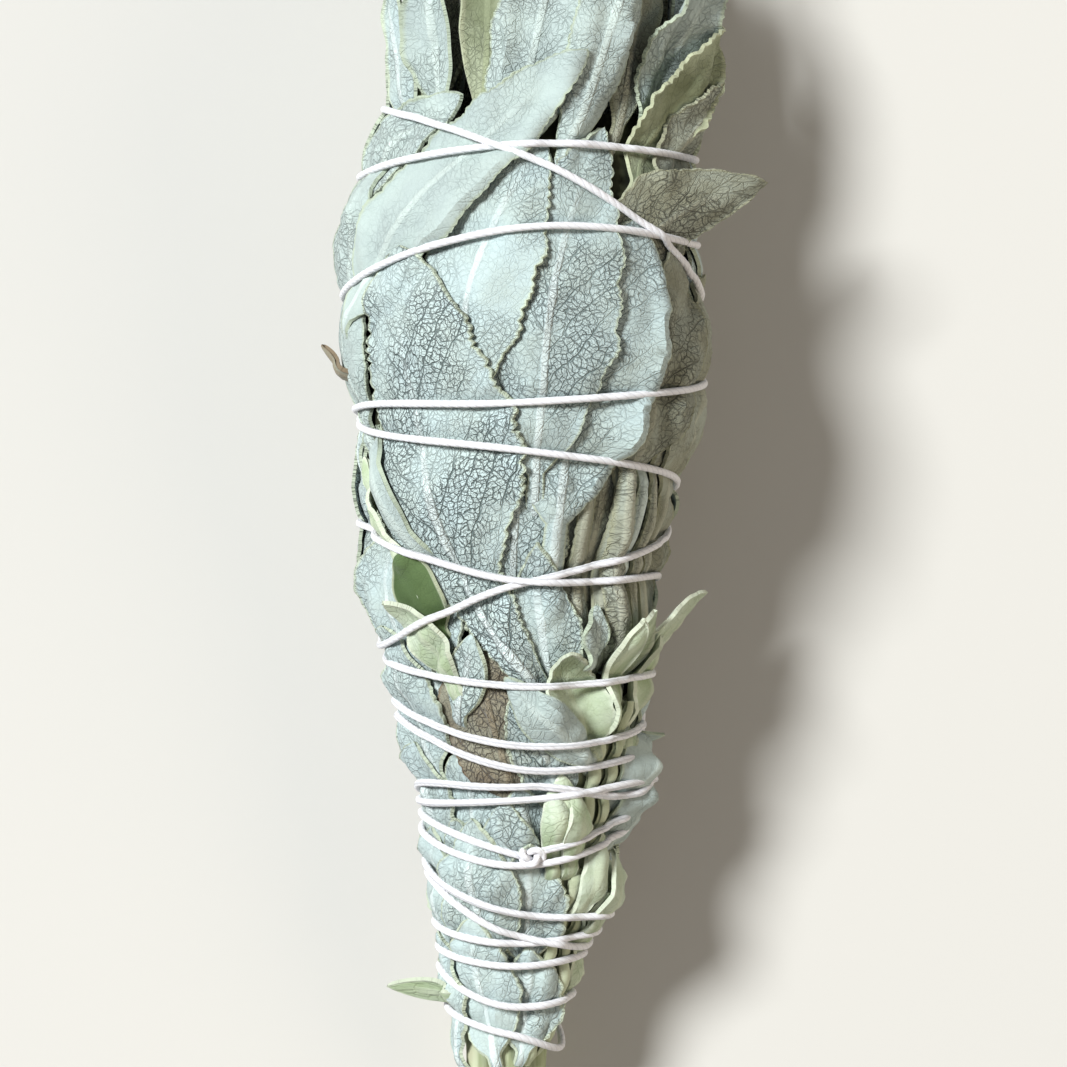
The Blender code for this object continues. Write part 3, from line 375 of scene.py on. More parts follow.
def settled(points, along, angle, lowest=GROUND_GAP):
    """Points in the row frame: bulged down between the turns of string underneath, and flat on the ground."""
    bottom = read_grid(STRING_BITE, along, np.full(along.shape, math.pi))
    share = np.interp(along / MM, *np.array(BELLY_ALONG, float).T)
    free = np.minimum(1, BELLY_FLATNESS * (1 - bottom / BITE_DEEPEST))
    low = np.clip(1 - points[..., 2] / BELLY_DEPTH, 0, 1.2)
    points = points.copy()
    points[..., 2] -= share * (SAG + BELLY * free) * low * np.maximum(0, -np.cos(angle))
    points -= np.array(SET_DOWN)
    points[..., 2] = lowest + SOFT_LANDING * np.logaddexp(0, (points[..., 2] - lowest) / SOFT_LANDING)
    return points


# Leaves


def leaf_half_width(leaf, share):
    """Half the leaf's width at each share of its length: a narrow stalk, a long oval and a blunt tip."""
    if leaf.finish == "stalk":
        return leaf.width * MM / 2 * np.clip(np.sin(math.pi * np.clip(share, 0.02, 0.98)) * 6, 0, 1)
    more = leaf.more
    peak, blunt = more.get("shape", OVAL)
    stalk = more.get("stalk", 0.10)
    blade = np.clip((share - stalk) / (1 - stalk), 0, 1)
    oval = np.sin(math.pi * blade**peak) ** blunt
    half = leaf.width * MM / 2 * oval * (1 - more.get("neck", 0) * np.clip((0.60 - share) / 0.16, 0, 1))
    stalk_half = (1.3 if stalk > 0.2 else 1.1) * MM
    return np.maximum(half, stalk_half * np.clip((1 - share) * 1.2, 0, 1) + 0.02 * MM)


def is_rough(leaf):
    """Whether this leaf may be shown with few points: never, as the test is switched off."""
    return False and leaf.name.startswith(("back", "side"))


def side_places(leaf):
    """Places across a leaf, closer together at its midrib and edges, from -1 to 1."""
    half = [0, 0.05, 0.1, 0.2, 0.32, 0.46, 0.6, 0.74, 0.85, 0.93, 0.98, 1]
    if is_rough(leaf) or leaf.width <= NARROW_LEAF:
        half = [0, 0.08, 0.25, 0.5, 0.78, 0.94, 1]
    return np.array([-p for p in reversed(half[1:])] + half)


def row_count(leaf):
    """How many rows of points a leaf has: fewer on the far side, the sides and the inside."""
    hidden = leaf.name.startswith(("back", "side", "inner", "heart"))
    step = 0.9 if is_rough(leaf) else 0.46 if hidden else 0.32
    length = math.hypot(leaf.tip[1] - leaf.foot[1], math.radians(leaf.tip[0] - leaf.foot[0]) * MEAN_RADIUS)
    return int(np.clip(length / step, FEWEST_ROWS, MOST_ROWS))


def wander(chance, at, lengths, amount):
    """A smooth random line, the sum of waves of some lengths."""
    line = np.zeros(np.shape(at))
    for length in lengths:
        line = line + np.sin(2 * math.pi * (at / length + chance.random())) / len(lengths)
    return line * amount


def free_from(along, angle, share):
    """The share of the leaf's length from which no string holds it down."""
    first, last = knots_of_string()[[0, -1], 0]
    middle = along.shape[1] // 2
    found = FREE_SHARE
    for number in range(math.floor(first) - 1, math.ceil(last) + 2):
        turns = angle[:, middle] / (2 * math.pi) + number
        within = (turns >= first) & (turns <= last)
        if within.any():
            above = along[within, middle] - string_route(turns[within])
            if above.min() < 0 < above.max():
                found = max(found, share[within][np.abs(above) < STRING_MARGIN].max())
    return found


def midrib_path(leaf, share):
    """The midrib's angle round the stick and its place along, at each share of the leaf's length."""
    controls = np.array([leaf.foot, leaf.bend, leaf.tip], float)
    bezier = np.stack([(1 - share) ** 2, 2 * share * (1 - share), share**2])
    return np.radians(controls[:, 0] @ bezier), controls[:, 1] @ bezier * MM


def across_leaf(leaf, chance, share, arc, half, side):
    """How far each point is from the midrib: both edges have scalloped teeth and a slow ripple."""
    tooth = leaf.more.get("teeth", 1) * (leaf.width > 7) * TOOTH * np.clip((share - 0.2) * 8, 0, 1)
    pitch = (TOOTH_PITCH[0] + (TOOTH_PITCH[1] - TOOTH_PITCH[0]) * chance.random()) * MM
    scallop = np.abs(np.sin(math.pi * (arc / pitch + wander(chance, arc, (7 * MM,), 0.3)))) ** 0.6 - 0.6
    left, right = (wander(chance, arc, (6 * MM, 13 * MM), 0.035 * leaf.width * MM) for _ in range(2))
    ripple = np.where(side > 0, right, left) * np.abs(side) ** 3 * (half / half.max())
    uneven = 1 + leaf.more.get("lean", 0) * np.sign(side)
    return half * side * uneven + (tooth * scallop * np.abs(side) ** 9 + ripple) * np.sign(side)


def raised(leaf, chance, bed, share, arc, half, side, across):
    """How far out each point of a leaf is: laid on its bed, pillowed, cupped, rolled, waved and veined."""
    more, width = leaf.more, leaf.width
    full, dome = half / half.max(), 1 - side**2
    out = bed - FOOT_DIP * np.clip(1 - share / 0.14, 0, 1) ** 2
    pillow = more.get("pillow", 0.7 if width > BROAD_LEAF else 0.2)
    out = out + pillow * MM * full * dome * np.clip((share - 0.1) * 5, 0, 1)
    cup = more.get("cup", 0) * MM
    if cup > 0:
        out = out + cup * full * dome
    else:
        out = out - cup * full * np.clip((share - 0.25) * 2.5, 0, 1) * side**2
    if "stalk" in more:
        out = out + 0.7 * MM * np.clip(1 - (share - more["stalk"]) / 0.12, 0, 1) * dome
    if "roll_right" in more:
        in_from_edge = half * (1 - np.abs(side)) - 0.9 * MM
        near = np.where(side > 0, np.exp(-((in_from_edge / (0.9 * MM)) ** 2)), 0)
        out = out + more["roll_right"] * MM * near * np.clip(full * 1.5 - 0.3, 0, 1)
    wave = wander(chance, arc + side * 3 * MM, (5 * MM, 9 * MM, 17 * MM), more.get("wave", 0.28) * MM)
    out = out + (wave * side**4 + 0.5 * MM * np.abs(side) ** 7) * full
    midrib = 0.16 * MM * np.exp(-((across / (0.42 * MM)) ** 2)) * (1 - share * 0.8)
    from_vein = np.abs(np.mod((arc - 0.75 * np.abs(across)) / (3.3 * MM), 1) - 0.5) * 2
    veins = 0.10 * MM * np.exp(-((from_vein / 0.28) ** 2)) * full
    return out + midrib * (width > NARROW_LEAF) - veins * (width > MIDDLING_LEAF)


def lay_leaf(leaf, heap, bed=None):
    """Shapes one leaf on the heap, and returns its grid of points with what its finish needs to know."""
    chance = random.Random(leaf.name)
    share = np.linspace(0, 1, row_count(leaf))
    angle, along = midrib_path(leaf, share)
    girth = core_radius(along) + OVERLAY
    round_step, along_step = np.gradient(angle) * girth, np.gradient(along)
    step = np.hypot(round_step, along_step)
    arc, half, side = np.cumsum(step) - step[0], leaf_half_width(leaf, share), side_places(leaf)[None]
    # Each row of points is a row of the grids from here on
    share, arc, half, angle, along = (values[:, None] for values in (share, arc, half, angle, along))
    across = across_leaf(leaf, chance, share, arc, half, side)
    grid_along = along - across * (round_step / step)[:, None]
    grid_angle = angle + across * (along_step / step / girth)[:, None]
    resting = read_grid(heap.bed(10) if bed is None else bed, grid_along, grid_angle) + CLEAR
    out = raised(leaf, chance, resting, share, arc, half, side, across)
    out = out - read_grid(STRING_PINCH, grid_along, grid_angle)
    start = free_from(grid_along, grid_angle, share[:, 0])
    rise = np.clip((share - start) / max(1 - start, 0.05), 0, 1) ** 1.5
    covered = (grid_along, grid_angle, np.minimum(out, resting + 0.8 * MM) + BLADE)
    heap.lay(*(np.concatenate([(a[:, :-1] * (1 - t) + a[:, 1:] * t).ravel() for t in (0, 0.25, 0.5, 0.75, 1)])
               for a in covered))
    out = out + leaf.lift * MM * rise
    points = settled(on_stick(grid_along, grid_angle, out), grid_along, grid_angle, BLADE * 1.3 + 0.03 * MM)
    seed, shade = chance.random() * 40, chance.random()
    from_edge = half * (1 - np.abs(side))
    place, mark = (np.stack(np.broadcast_arrays(*values), -1) for values in (
        (across / MM, arc / MM, seed), (from_edge / MM, share, shade)))
    return points, place, mark, np.full(across.shape, float(leaf.more.get("net", 0.8)))


def deselect():
    bpy.ops.object.select_all(action="DESELECT")


def grid_object(name, points):
    """A grid primitive whose points are moved to these, row by row."""
    rows, columns = points.shape[:2]
    deselect()
    bpy.ops.mesh.primitive_grid_add(x_subdivisions=columns - 1, y_subdivisions=rows - 1, size=1)
    piece = bpy.context.object
    piece.name = name
    mesh = piece.data
    flat = np.zeros(len(mesh.vertices) * 3, np.float32)
    mesh.vertices.foreach_get("co", flat)
    flat = flat.reshape(-1, 3)
    order = np.lexsort((np.round(flat[:, 0], 5), np.round(flat[:, 1], 5)))
    placed = np.zeros_like(flat)
    placed[order] = points.reshape(-1, 3)
    mesh.vertices.foreach_set("co", placed.ravel())
    return piece, order


def note_on(mesh, name, order, values):
    """Writes one or three values for each point, which the finish reads."""
    kind, field, width = ("FLOAT", "value", 1) if values.ndim == 2 else ("FLOAT_VECTOR", "vector", 3)
    placed = np.zeros((len(order), width), np.float32)
    placed[order] = values.reshape(-1, width)
    mesh.attributes.new(name, kind, "POINT").data.foreach_set(field, placed.ravel())


def make_leaf(leaf, heap, finishes, bed=None):
    points, *notes = lay_leaf(leaf, heap, bed)
    piece, order = grid_object("leaf_" + leaf.name, points)
    for name, values in zip(("place", "mark", "net"), notes):
        note_on(piece.data, name, order, values)
    piece.data.materials.append(finishes[leaf.finish])
    thicken = piece.modifiers.new("Blade", "SOLIDIFY")
    thicken.thickness = BLADE if leaf.width > 5 else BLADE * 1.3
    thicken.offset = 1
    bpy.ops.object.modifier_apply(modifier="Blade")
    return piece


def back_leaves(number):
    """The leaves of the far side and the underside that are laid before those of a batch."""
    leaves = []
    for start, angles, length, width in BACK_ROWS[number] if number < len(BACK_ROWS) else ():
        for count, angle in enumerate(angles):
            lean = 6 * (-1) ** (count + number) if len(angles) > 1 else 0
            bend, tip = (angle - lean, start + length * 0.45), (angle + lean, start + length)
            leaves.append(Leaf(f"back_{number + 1}_{angle}", (angle, start), bend, tip, width, 0.2, net=0.9))
    return leaves


def side_leaves():
    """Leaves low on both sides, which close the gap between the front and the far side."""
    leaves = []
    for number, start in enumerate(SIDE_STARTS):
        for side in (-1, 1):
            angle, width = side * (92 + 5 * (number % 2)), 9 + number
            length = 30 + 3 * (number % 3)
            bend, tip = (angle - 7 * side, start + length / 2), (angle + 5 * side, start + length)
            leaves.append(Leaf(f"side_{number}_{side}", (angle + 4, start), bend, tip, min(width, 14), 0.2))
    return leaves


# Sprigs


def new_circle(name, sides):
    """A circle primitive, whose mesh is drawn out into a sprig or the string."""
    deselect()
    bpy.ops.mesh.primitive_circle_add(vertices=sides, radius=1, fill_type="NOTHING")
    piece = bpy.context.object
    piece.name = name
    return piece


def skin(mesh, rings):
    """Draws a mesh out through rings of points, with its first face at the start and its last at the end."""
    number = np.arange(rings[..., 0].size).reshape(rings.shape[:2])
    after = np.roll(number, -1, 1)
    quads = np.stack([number[:-1], after[:-1], after[1:], number[1:]], -1).reshape(-1, 4)
    mesh.clear_geometry()
    mesh.from_pydata(rings.reshape(-1, 3).tolist(), [],
                     [number[0, ::-1].tolist(), *quads.tolist(), number[-1].tolist()])


def sprig_ring(place, middle_angle, sides):
    """One ring of points round a sprig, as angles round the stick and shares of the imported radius."""
    turn = np.linspace(0, 2 * math.pi, sides, endpoint=False)
    full = float(np.clip((place + 54 * MM) / (26 * MM), 0, 1))
    power = 1 if middle_angle is None else 1 - 0.35 * full
    inward = np.sign(np.cos(turn)) * np.abs(np.cos(turn)) ** power
    sideways = np.sign(np.sin(turn)) * np.abs(np.sin(turn)) ** power
    radius = core_radius(place)
    thick = radius / 3 - 0.1 * MM
    if middle_angle is None:
        return np.arctan2(sideways, inward), np.hypot(sideways, inward) * thick / radius
    outward = radius * 2 / 3 + inward * thick
    half = thick + full * (outward * math.tan(math.radians(29)) - 0.3 * MM - thick)
    across = sideways * half
    return middle_angle + np.arctan2(across, outward), np.hypot(across, outward) / radius


def make_sprig(name, middle_angle, finishes, end_offset):
    """A sprig without its leaves: a round cut stem that fills out into what is folded along it."""
    sides, chance = SPRIG_SIDES, random.Random(name)
    share_out, bearing = (0, 0) if middle_angle is None else (2 / 3, middle_angle)
    middle_x, middle_z = share_out * math.sin(bearing), share_out * math.cos(bearing)
    places = np.concatenate([[-75], np.linspace(-74.7, -40, 30), np.linspace(-38, 50, 36)]) * MM
    places[:2] += end_offset
    rings = []
    for number, place in enumerate(places):
        angle, share = sprig_ring(place, middle_angle, sides)
        groove = 0.97 + 0.02 * np.cos(np.arange(sides) * math.pi * 2 / 4)
        groove = groove + 0.01 * np.sin(place / MM * 0.7 + chance.random() * 6)
        shrink = {0: 0.93, len(places) - 2: 0.86, len(places) - 1: 0.6}.get(number, 1.0) * groove
        x = middle_x + (share * np.sin(angle) - middle_x) * shrink
        z = middle_z + (share * np.cos(angle) - middle_z) * shrink
        angle, share = np.arctan2(x, z), np.hypot(x, z)
        along = np.full(sides, place)
        out = share * (packed(along, angle) - BITE - BITE_BELOW * underneath(angle))
        rings.append(settled(on_stick(along, angle, out), along, angle))
    piece = new_circle("sprig_" + name, sides)
    mesh = piece.data
    skin(mesh, np.stack(rings))
    for finish in ("stem", "pith", "deep"):
        mesh.materials.append(finishes[finish])
    # the sprig faces inside the bundle, above the bare stem ends, take the near-black painted gap shade
    for face in mesh.polygons:
        face.material_index = 1 if face.index == 0 else (2 if face.center.y > BARE_STEM_END else 0)
    return piece


def inner_tuft():
    """The leaves inside the tuft, with their sprigs and how far out they are, as a share of the surface."""
    found = []
    for number in range(3):
        angle = 120 * number + 40
        leaf = Leaf(f"heart_{number}", (angle, 47), (angle, 58), (angle + 15, 78 + number), 8, 0, "young")
        found.append(("centre", leaf, 0.2))
    for ring, (place, width, finish) in enumerate(INNER_RINGS):
        for number, name in enumerate(RING_NAMES):
            angle, end = 60 * number + 25 * ring, 81 - 2 * ring - 3 * (number % 2)
            leaf = Leaf(f"inner_{ring}_{name}", (angle, 47), (angle + 8, 62), (angle - 6, end),
                        width, 0, finish, cup=-0.5, shape=TONGUE)
            found.append((name, leaf, place + 0.06 * (number % 2)))
    return found


# String


def wound_string(heap):
    """The line that the string takes over the leaves, each turn over what it crosses."""
    first, last = knots_of_string()[[0, -1], 0]
    turns = [first]
    while turns[-1] < last:
        radius = core_radius(string_route(np.array([turns[-1]])))[0]
        turns.append(turns[-1] + STRING_STEP / (2 * math.pi * radius))
    turns = np.array(turns)
    along, angle = string_route(turns), 2 * math.pi * turns
    lift = STRING * 0.36
    out = read_grid(heap.bed(2), along, angle) + lift - read_grid(STRING_PINCH, along, angle) * 0.6
    low = out.copy()
    for reach in (12, 8, 5, 3, 2, 1) * 3:
        chord = (out[: -2 * reach] + out[2 * reach :]) / 2
        out[reach:-reach] = np.maximum(out[reach:-reach], chord)
    out = np.minimum(out, low + 1.0 * MM)
    crossed = np.zeros((ROWS, COLUMNS))
    row, column = nearest_cell(along, angle, 1)
    for number in range(len(turns)):
        under = crossed[row[number] - 1 : row[number] + 2, column[number]].max()
        if under:
            out[number] = max(out[number], under + STRING * 0.62)
        done = number - STRING_DELAY
        if done >= 0:
            crossed[row[done], column[done]] = max(crossed[row[done], column[done]], out[done])
    for _ in range(10):
        smooth = out.copy()
        smooth[1:-1] = (out[:-2] + 2 * out[1:-1] + out[2:]) / 4
        out = np.maximum(smooth, np.minimum(out, smooth + 0.04 * MM))
    return settled(on_stick(along, angle, out), along, angle)


def sweep_string(name, line, thickness):
    """A twisted cord along a line: three plies, wound round each other."""
    sides = STRING_SIDES
    tangent = np.gradient(line, axis=0)
    tangent /= np.linalg.norm(tangent, axis=1, keepdims=True)
    normal = np.zeros_like(line)
    normal[0] = np.cross(tangent[0], (0, 1, 0.3))
    normal[0] /= np.linalg.norm(normal[0])
    for i in range(1, len(line)):
        kept = normal[i - 1] - tangent[i] * (normal[i - 1] @ tangent[i])
        normal[i] = kept / np.linalg.norm(kept)
    binormal = np.cross(tangent, normal)
    run = np.concatenate([[0], np.cumsum(np.linalg.norm(np.diff(line, axis=0), axis=1))])
    turn = np.linspace(0, 2 * math.pi, sides, endpoint=False)
    twist = turn[None] - (2 * math.pi * run / STRING_LAY)[:, None]
    chance = random.Random("string")
    fluff = 1 + wander(chance, run, (9 * MM, 23 * MM), 0.05)
    radius = thickness / 2 * (0.93 + 0.08 * np.abs(np.cos(1.5 * twist))) * fluff[:, None]
    points = line[:, None] + radius[..., None] * (
        normal[:, None] * np.cos(turn)[None, :, None] + binormal[:, None] * np.sin(turn)[None, :, None])
    points[..., 2] = np.maximum(points[..., 2], GROUND_GAP)
    piece = new_circle(name, sides)
    mesh = piece.data
    skin(mesh, points)
    place = np.stack(np.broadcast_arrays(twist, run[:, None] / MM, radius / MM), -1)
    note_on(mesh, "place", np.arange(place[..., 0].size), place)
    mesh.shade_smooth()
    return piece


def knot_line(centre):
    """The line of the two overhand loops of the knot."""
    t = np.linspace(0, 2 * math.pi * 2, 110)
    x = (1.05 + 0.38 * np.cos(1.5 * t)) * np.cos(t) * 0.95
    y = (1.05 + 0.38 * np.cos(1.5 * t)) * np.sin(t) * 0.75
    z = 0.55 * np.sin(1.5 * t)
    return centre + np.stack([x, y, z], -1) * MM


# Finishes

VEIN_DEPTH = 0.5  # mm
CELLS_PER_MM, SIDE_VEIN_SPACING = (1.2, 2.6), 4.6  # wide and fine cells of the net, and mm between side veins
# Each leaf's material, two colours of its cells, those of its veins, edge and midrib, and its net and relief
LEAF_LOOKS = {
    "felt": ("felted_leaf", (0.535, 0.64, 0.635), (0.43, 0.50, 0.47), (0.12, 0.16, 0.155),
             (0.50, 0.54, 0.38), (0.66, 0.73, 0.71)),
    # painted shade: a darker, warmer khaki copy of the felt colours, for leaves on the side away from the
    # light
    "shaded": ("felted_leaf_khaki", (0.31, 0.31, 0.225), (0.34, 0.365, 0.305), (0.10, 0.10, 0.07),
               (0.36, 0.36, 0.24), (0.41, 0.41, 0.32)),
    "smooth": ("felted_leaf_smooth", (0.44, 0.51, 0.49), (0.41, 0.475, 0.445), (0.25, 0.30, 0.28),
               (0.43, 0.48, 0.34), (0.54, 0.61, 0.57), 1.0, 0.7),
    "young": ("young_leaf", (0.385, 0.47, 0.28), (0.50, 0.555, 0.44), (0.23, 0.29, 0.15),
              (0.62, 0.65, 0.52), (0.50, 0.55, 0.40), 0.4, 0.6),
    # dark olive green: partly the leaf's own green, partly painted shade for leaves lying in shadow
    "olive": ("felted_leaf_olive", (0.22, 0.245, 0.14), (0.34, 0.37, 0.25), (0.09, 0.10, 0.05),
              (0.48, 0.50, 0.34), (0.30, 0.33, 0.20), 0.5, 0.7),
    # painted shade: near-black green for the leaf that lies in a hollow between others
    "backlit": ("leaf_hollow", (0.05, 0.085, 0.025), (0.085, 0.13, 0.05), (0.025, 0.045, 0.012),
                (0.50, 0.53, 0.38), (0.07, 0.11, 0.04), 0.5, 0.7),
    "withered": ("withered_leaf", (0.23, 0.185, 0.125), (0.27, 0.26, 0.195), (0.06, 0.045, 0.03),
                 (0.18, 0.12, 0.07), (0.26, 0.215, 0.145)),
    "stalk": ("leaf_stalk", (0.40, 0.44, 0.29), (0.47, 0.49, 0.36), (0.28, 0.32, 0.20),
              (0.42, 0.45, 0.30), (0.48, 0.52, 0.36), 0.2, 0.5),
}


def add(tree, kind, links=None, **settings):
    """A node with its settings, and with its inputs set to values or linked to sockets."""
    made = tree.nodes.new("ShaderNode" + kind)
    for name, value in settings.items():
        setattr(made, name, value)
    for socket, value in (links or {}).items():
        if isinstance(value, bpy.types.NodeSocket):
            tree.links.new(value, made.inputs[socket])
        else:
            made.inputs[socket].default_value = value
    return made


def maths(tree, operation, *values):
    return add(tree, "Math", dict(enumerate(values)), operation=operation).outputs[0]


def product(tree, *values):
    made = values[0]
    for value in values[1:]:
        made = maths(tree, "MULTIPLY", made, value)
    return made


def ramp(tree, value, low, high, to_low=0.0, to_high=1.0):
    links = {"Value": value, "From Min": low, "From Max": high, "To Min": to_low, "To Max": to_high}
    return add(tree, "MapRange", links, interpolation_type="SMOOTHSTEP").outputs["Result"]


def noise(tree, place, scale, detail, roughness=0.5, **settings):
    links = {"Vector": place, "Scale": scale, "Detail": detail, "Roughness": roughness}
    return add(tree, "TexNoise", links, **settings).outputs


def parts_of(tree, vector):
    return list(add(tree, "SeparateXYZ", {0: vector}).outputs)


def mixed(tree, factor, first, second):
    made = add(tree, "Mix", data_type="RGBA")
    for socket, value in ((0, factor), (6, first), (7, second)):
        if isinstance(value, bpy.types.NodeSocket):
            tree.links.new(value, made.inputs[socket])
        else:
            made.inputs[socket].default_value = value if socket == 0 else (*value, 1)
    return made.outputs[2]


def new_group(name, vectors, numbers):
    """A group that takes some vectors and gives some numbers, with the sockets inside it."""
    group = bpy.data.node_groups.new(name, "ShaderNodeTree")
    for way, kind, labels in (("INPUT", "Vector", vectors), ("OUTPUT", "Float", numbers)):
        for label in labels:
            group.interface.new_socket(label, in_out=way, socket_type="NodeSocket" + kind)
    return group, group.nodes.new("NodeGroupInput").outputs, group.nodes.new("NodeGroupOutput").inputs


def vein_group():
    """The net of veins: pillowed cells, side veins that run up to the tip and a raised midrib."""
    group, given, result = new_group("net of veins", ("Place", "Mark"), ("Cells", "Midrib", "Height", "Fade"))
    across, along, seed = parts_of(group, given["Place"])
    flat = add(group, "CombineXYZ", {0: maths(group, "MULTIPLY_ADD", seed, 13.7, across),
                                     1: maths(group, "MULTIPLY_ADD", seed, 7.1, along)}).outputs[0]
    slow = noise(group, flat, 0.22, 1.0, noise_dimensions="2D")["Color"]
    quick = noise(group, flat, 1.3, 2.0, noise_dimensions="2D")["Color"]
    bent = flat
    for bend, much in ((slow, 2.2), (quick, 0.7)):
        links = {0: bend, 1: (much, much, 0.0), 2: bent}
        bent = add(group, "VectorMath", links, operation="MULTIPLY_ADD").outputs[0]
    wide, fine = (add(group, "TexVoronoi", {"Vector": bent, "Scale": scale}, feature="DISTANCE_TO_EDGE",
                      voronoi_dimensions="2D").outputs[0] for scale in CELLS_PER_MM)
    away = maths(group, "ABSOLUTE", across)
    shift = product(group, parts_of(group, slow)[0], 3.0)
    shift = maths(group, "MULTIPLY_ADD", parts_of(group, quick)[0], 0.5, shift)
    lean = maths(group, "MULTIPLY_ADD", away, -1.5, maths(group, "ADD", along, shift))
    half = product(group, maths(group, "LESS_THAN", across, 0.0), 0.5)
    phase = maths(group, "FRACT", maths(group, "ADD", maths(group, "DIVIDE", lean, SIDE_VEIN_SPACING), half))
    side = ramp(group, maths(group, "ABSOLUTE", maths(group, "SUBTRACT", phase, 0.5)), 0.006, 0.045)
    shown = ramp(group, parts_of(group, given["Mark"])[1], 0.55, 0.98, 1.0, 0.0)
    rib = product(group, ramp(group, away, 0.25, 0.5, 1.0, 0.0), shown)
    cells = product(group, ramp(group, wide, 0.0, 0.11, 0.1), ramp(group, fine, 0.0, 0.10, 0.62), side)
    height = maths(group, "ADD", product(group, cells, 0.65), product(group, rib, 0.7))
    fade = ramp(group, noise(group, flat, 0.1, 2.0, noise_dimensions="2D")[0], 0.36, 0.6, 0.3, 1.0)
    for label, value in (("Cells", cells), ("Midrib", rib), ("Height", height), ("Fade", fade)):
        group.links.new(value, result[label])
    return group


def felt_group():
    """The leaf's felt of fine hairs, and slow changes of its colour."""
    group, given, result = new_group("felt", ("Place",), ("Hairs", "Blotches"))
    group.links.new(noise(group, given["Place"], 6.0, 3.0, 0.7)[0], result["Hairs"])
    group.links.new(noise(group, given["Place"], 0.16, 3.0, 0.6)[0], result["Blotches"])
    return group


def bare_material(name, roughness, sheen=0.0):
    made = bpy.data.materials.new(name)
    made.use_nodes = True
    shader = made.node_tree.nodes["Principled BSDF"]
    shader.inputs["Roughness"].default_value = roughness
    shader.inputs["Specular IOR Level"].default_value = 0.25
    shader.inputs["Sheen Weight"].default_value = sheen
    return made, made.node_tree, shader


def paint(tree, shader, colour, height, strength, depth):
    """Gives a material its colour and its relief, this many mm deep."""
    tree.links.new(colour, shader.inputs["Base Color"])
    bump = add(tree, "Bump", {"Height": height, "Strength": strength, "Distance": depth * MM})
    tree.links.new(bump.outputs[0], shader.inputs["Normal"])


def leaf_finish(groups, name, cell, second, vein, rim, rib, net=1.0, relief=1.0):
    """A felted leaf, in two colours between its veins, with its edge and midrib in colours of their own."""
    made, tree, shader = bare_material(name, 0.92, 0.12)
    place = add(tree, "Attribute", attribute_name="place").outputs["Vector"]
    mark = add(tree, "Attribute", attribute_name="mark").outputs["Vector"]
    veins, felt = (add(tree, "Group", node_tree=groups[group]) for group in ("veins", "felt"))
    tree.links.new(place, veins.inputs["Place"])
    tree.links.new(mark, veins.inputs["Mark"])
    tree.links.new(place, felt.inputs["Place"])
    veins, felt = veins.outputs, felt.outputs
    from_edge, _, shade = parts_of(tree, mark)
    own_net = add(tree, "Attribute", attribute_name="net").outputs["Fac"]
    strength = product(tree, veins["Fade"], net, own_net)
    lines = product(tree, maths(tree, "SUBTRACT", 1.0, veins["Cells"]), strength)
    ground = mixed(tree, ramp(tree, felt["Blotches"], 0.3, 0.7), cell, second)
    colour = mixed(tree, maths(tree, "SUBTRACT", 1.0, lines), vein, ground)
    colour = mixed(tree, product(tree, veins["Midrib"], 0.8), colour, rib)
    colour = mixed(tree, ramp(tree, from_edge, 0.05, 0.42, 0.75, 0.0), colour, rim)
    light = ramp(tree, felt["Blotches"], 0.25, 0.75, 0.86, 1.1)
    own = add(tree, "MapRange", {"Value": shade, "To Min": 0.9, "To Max": 1.06}).outputs[0]
    hairy = add(tree, "MapRange", {"Value": felt["Hairs"], "From Min": 0.3, "From Max": 0.7,
                                   "To Min": 0.93, "To Max": 1.05}).outputs[0]
    value = product(tree, light, own, hairy)
    colour = add(tree, "HueSaturation", {"Color": colour, "Value": value}).outputs[0]
    height = maths(tree, "ADD", product(tree, veins["Height"], strength), product(tree, felt["Hairs"], 0.16))
    paint(tree, shader, colour, height, 1.0, VEIN_DEPTH * relief)
    return made


def stem_finish():
    """A pale green stem, finely ribbed along its length."""
    made, tree, shader = bare_material("sage_stem", 0.8, 0.05)
    place = add(tree, "TexCoord").outputs["Object"]
    stretched = add(tree, "Mapping", {"Vector": place, "Scale": (900, 60, 900)}).outputs[0]
    ribs = noise(tree, stretched, 1.0, 3.0)[0]
    colour = mixed(tree, ramp(tree, ribs, 0.35, 0.65), (0.30, 0.34, 0.19), (0.50, 0.54, 0.36))
    blotch = ramp(tree, noise(tree, place, 120.0, 2.0)[0], 0.5, 0.7, 0.0, 0.5)
    paint(tree, shader, mixed(tree, blotch, colour, (0.42, 0.36, 0.26)), ribs, 0.8, 0.15)
    return made


def pith_finish():
    """The cut end of a stem: pale speckled pith."""
    made, tree, shader = bare_material("cut_pith", 0.85)
    place = add(tree, "TexCoord").outputs["Object"]
    grain = add(tree, "TexVoronoi", {"Vector": place, "Scale": 3500.0}).outputs[0]
    colour = mixed(tree, ramp(tree, grain, 0.1, 0.6), (0.40, 0.36, 0.22), (0.66, 0.62, 0.44))
    patch = ramp(tree, noise(tree, place, 500.0, 2.0)[0], 0.45, 0.65, 0.0, 0.6)
    paint(tree, shader, mixed(tree, patch, colour, (0.36, 0.38, 0.2)), grain, 0.7, 0.15)
    return made


def gap_shade_finish():
    """What is packed inside, seen only through the gaps: near-black green, painted shade of the gaps between
    the leaves.
    """
    made, tree, shader = bare_material("packed_inside", 0.9)
    patch = noise(tree, add(tree, "TexCoord").outputs["Object"], 300.0, 3.0)[0]
    # painted shade: two near-black greens
    colour = mixed(tree, ramp(tree, patch, 0.35, 0.65), (0.014, 0.016, 0.009), (0.05, 0.052, 0.026))
    paint(tree, shader, colour, patch, 0.8, 0.3)
    return made


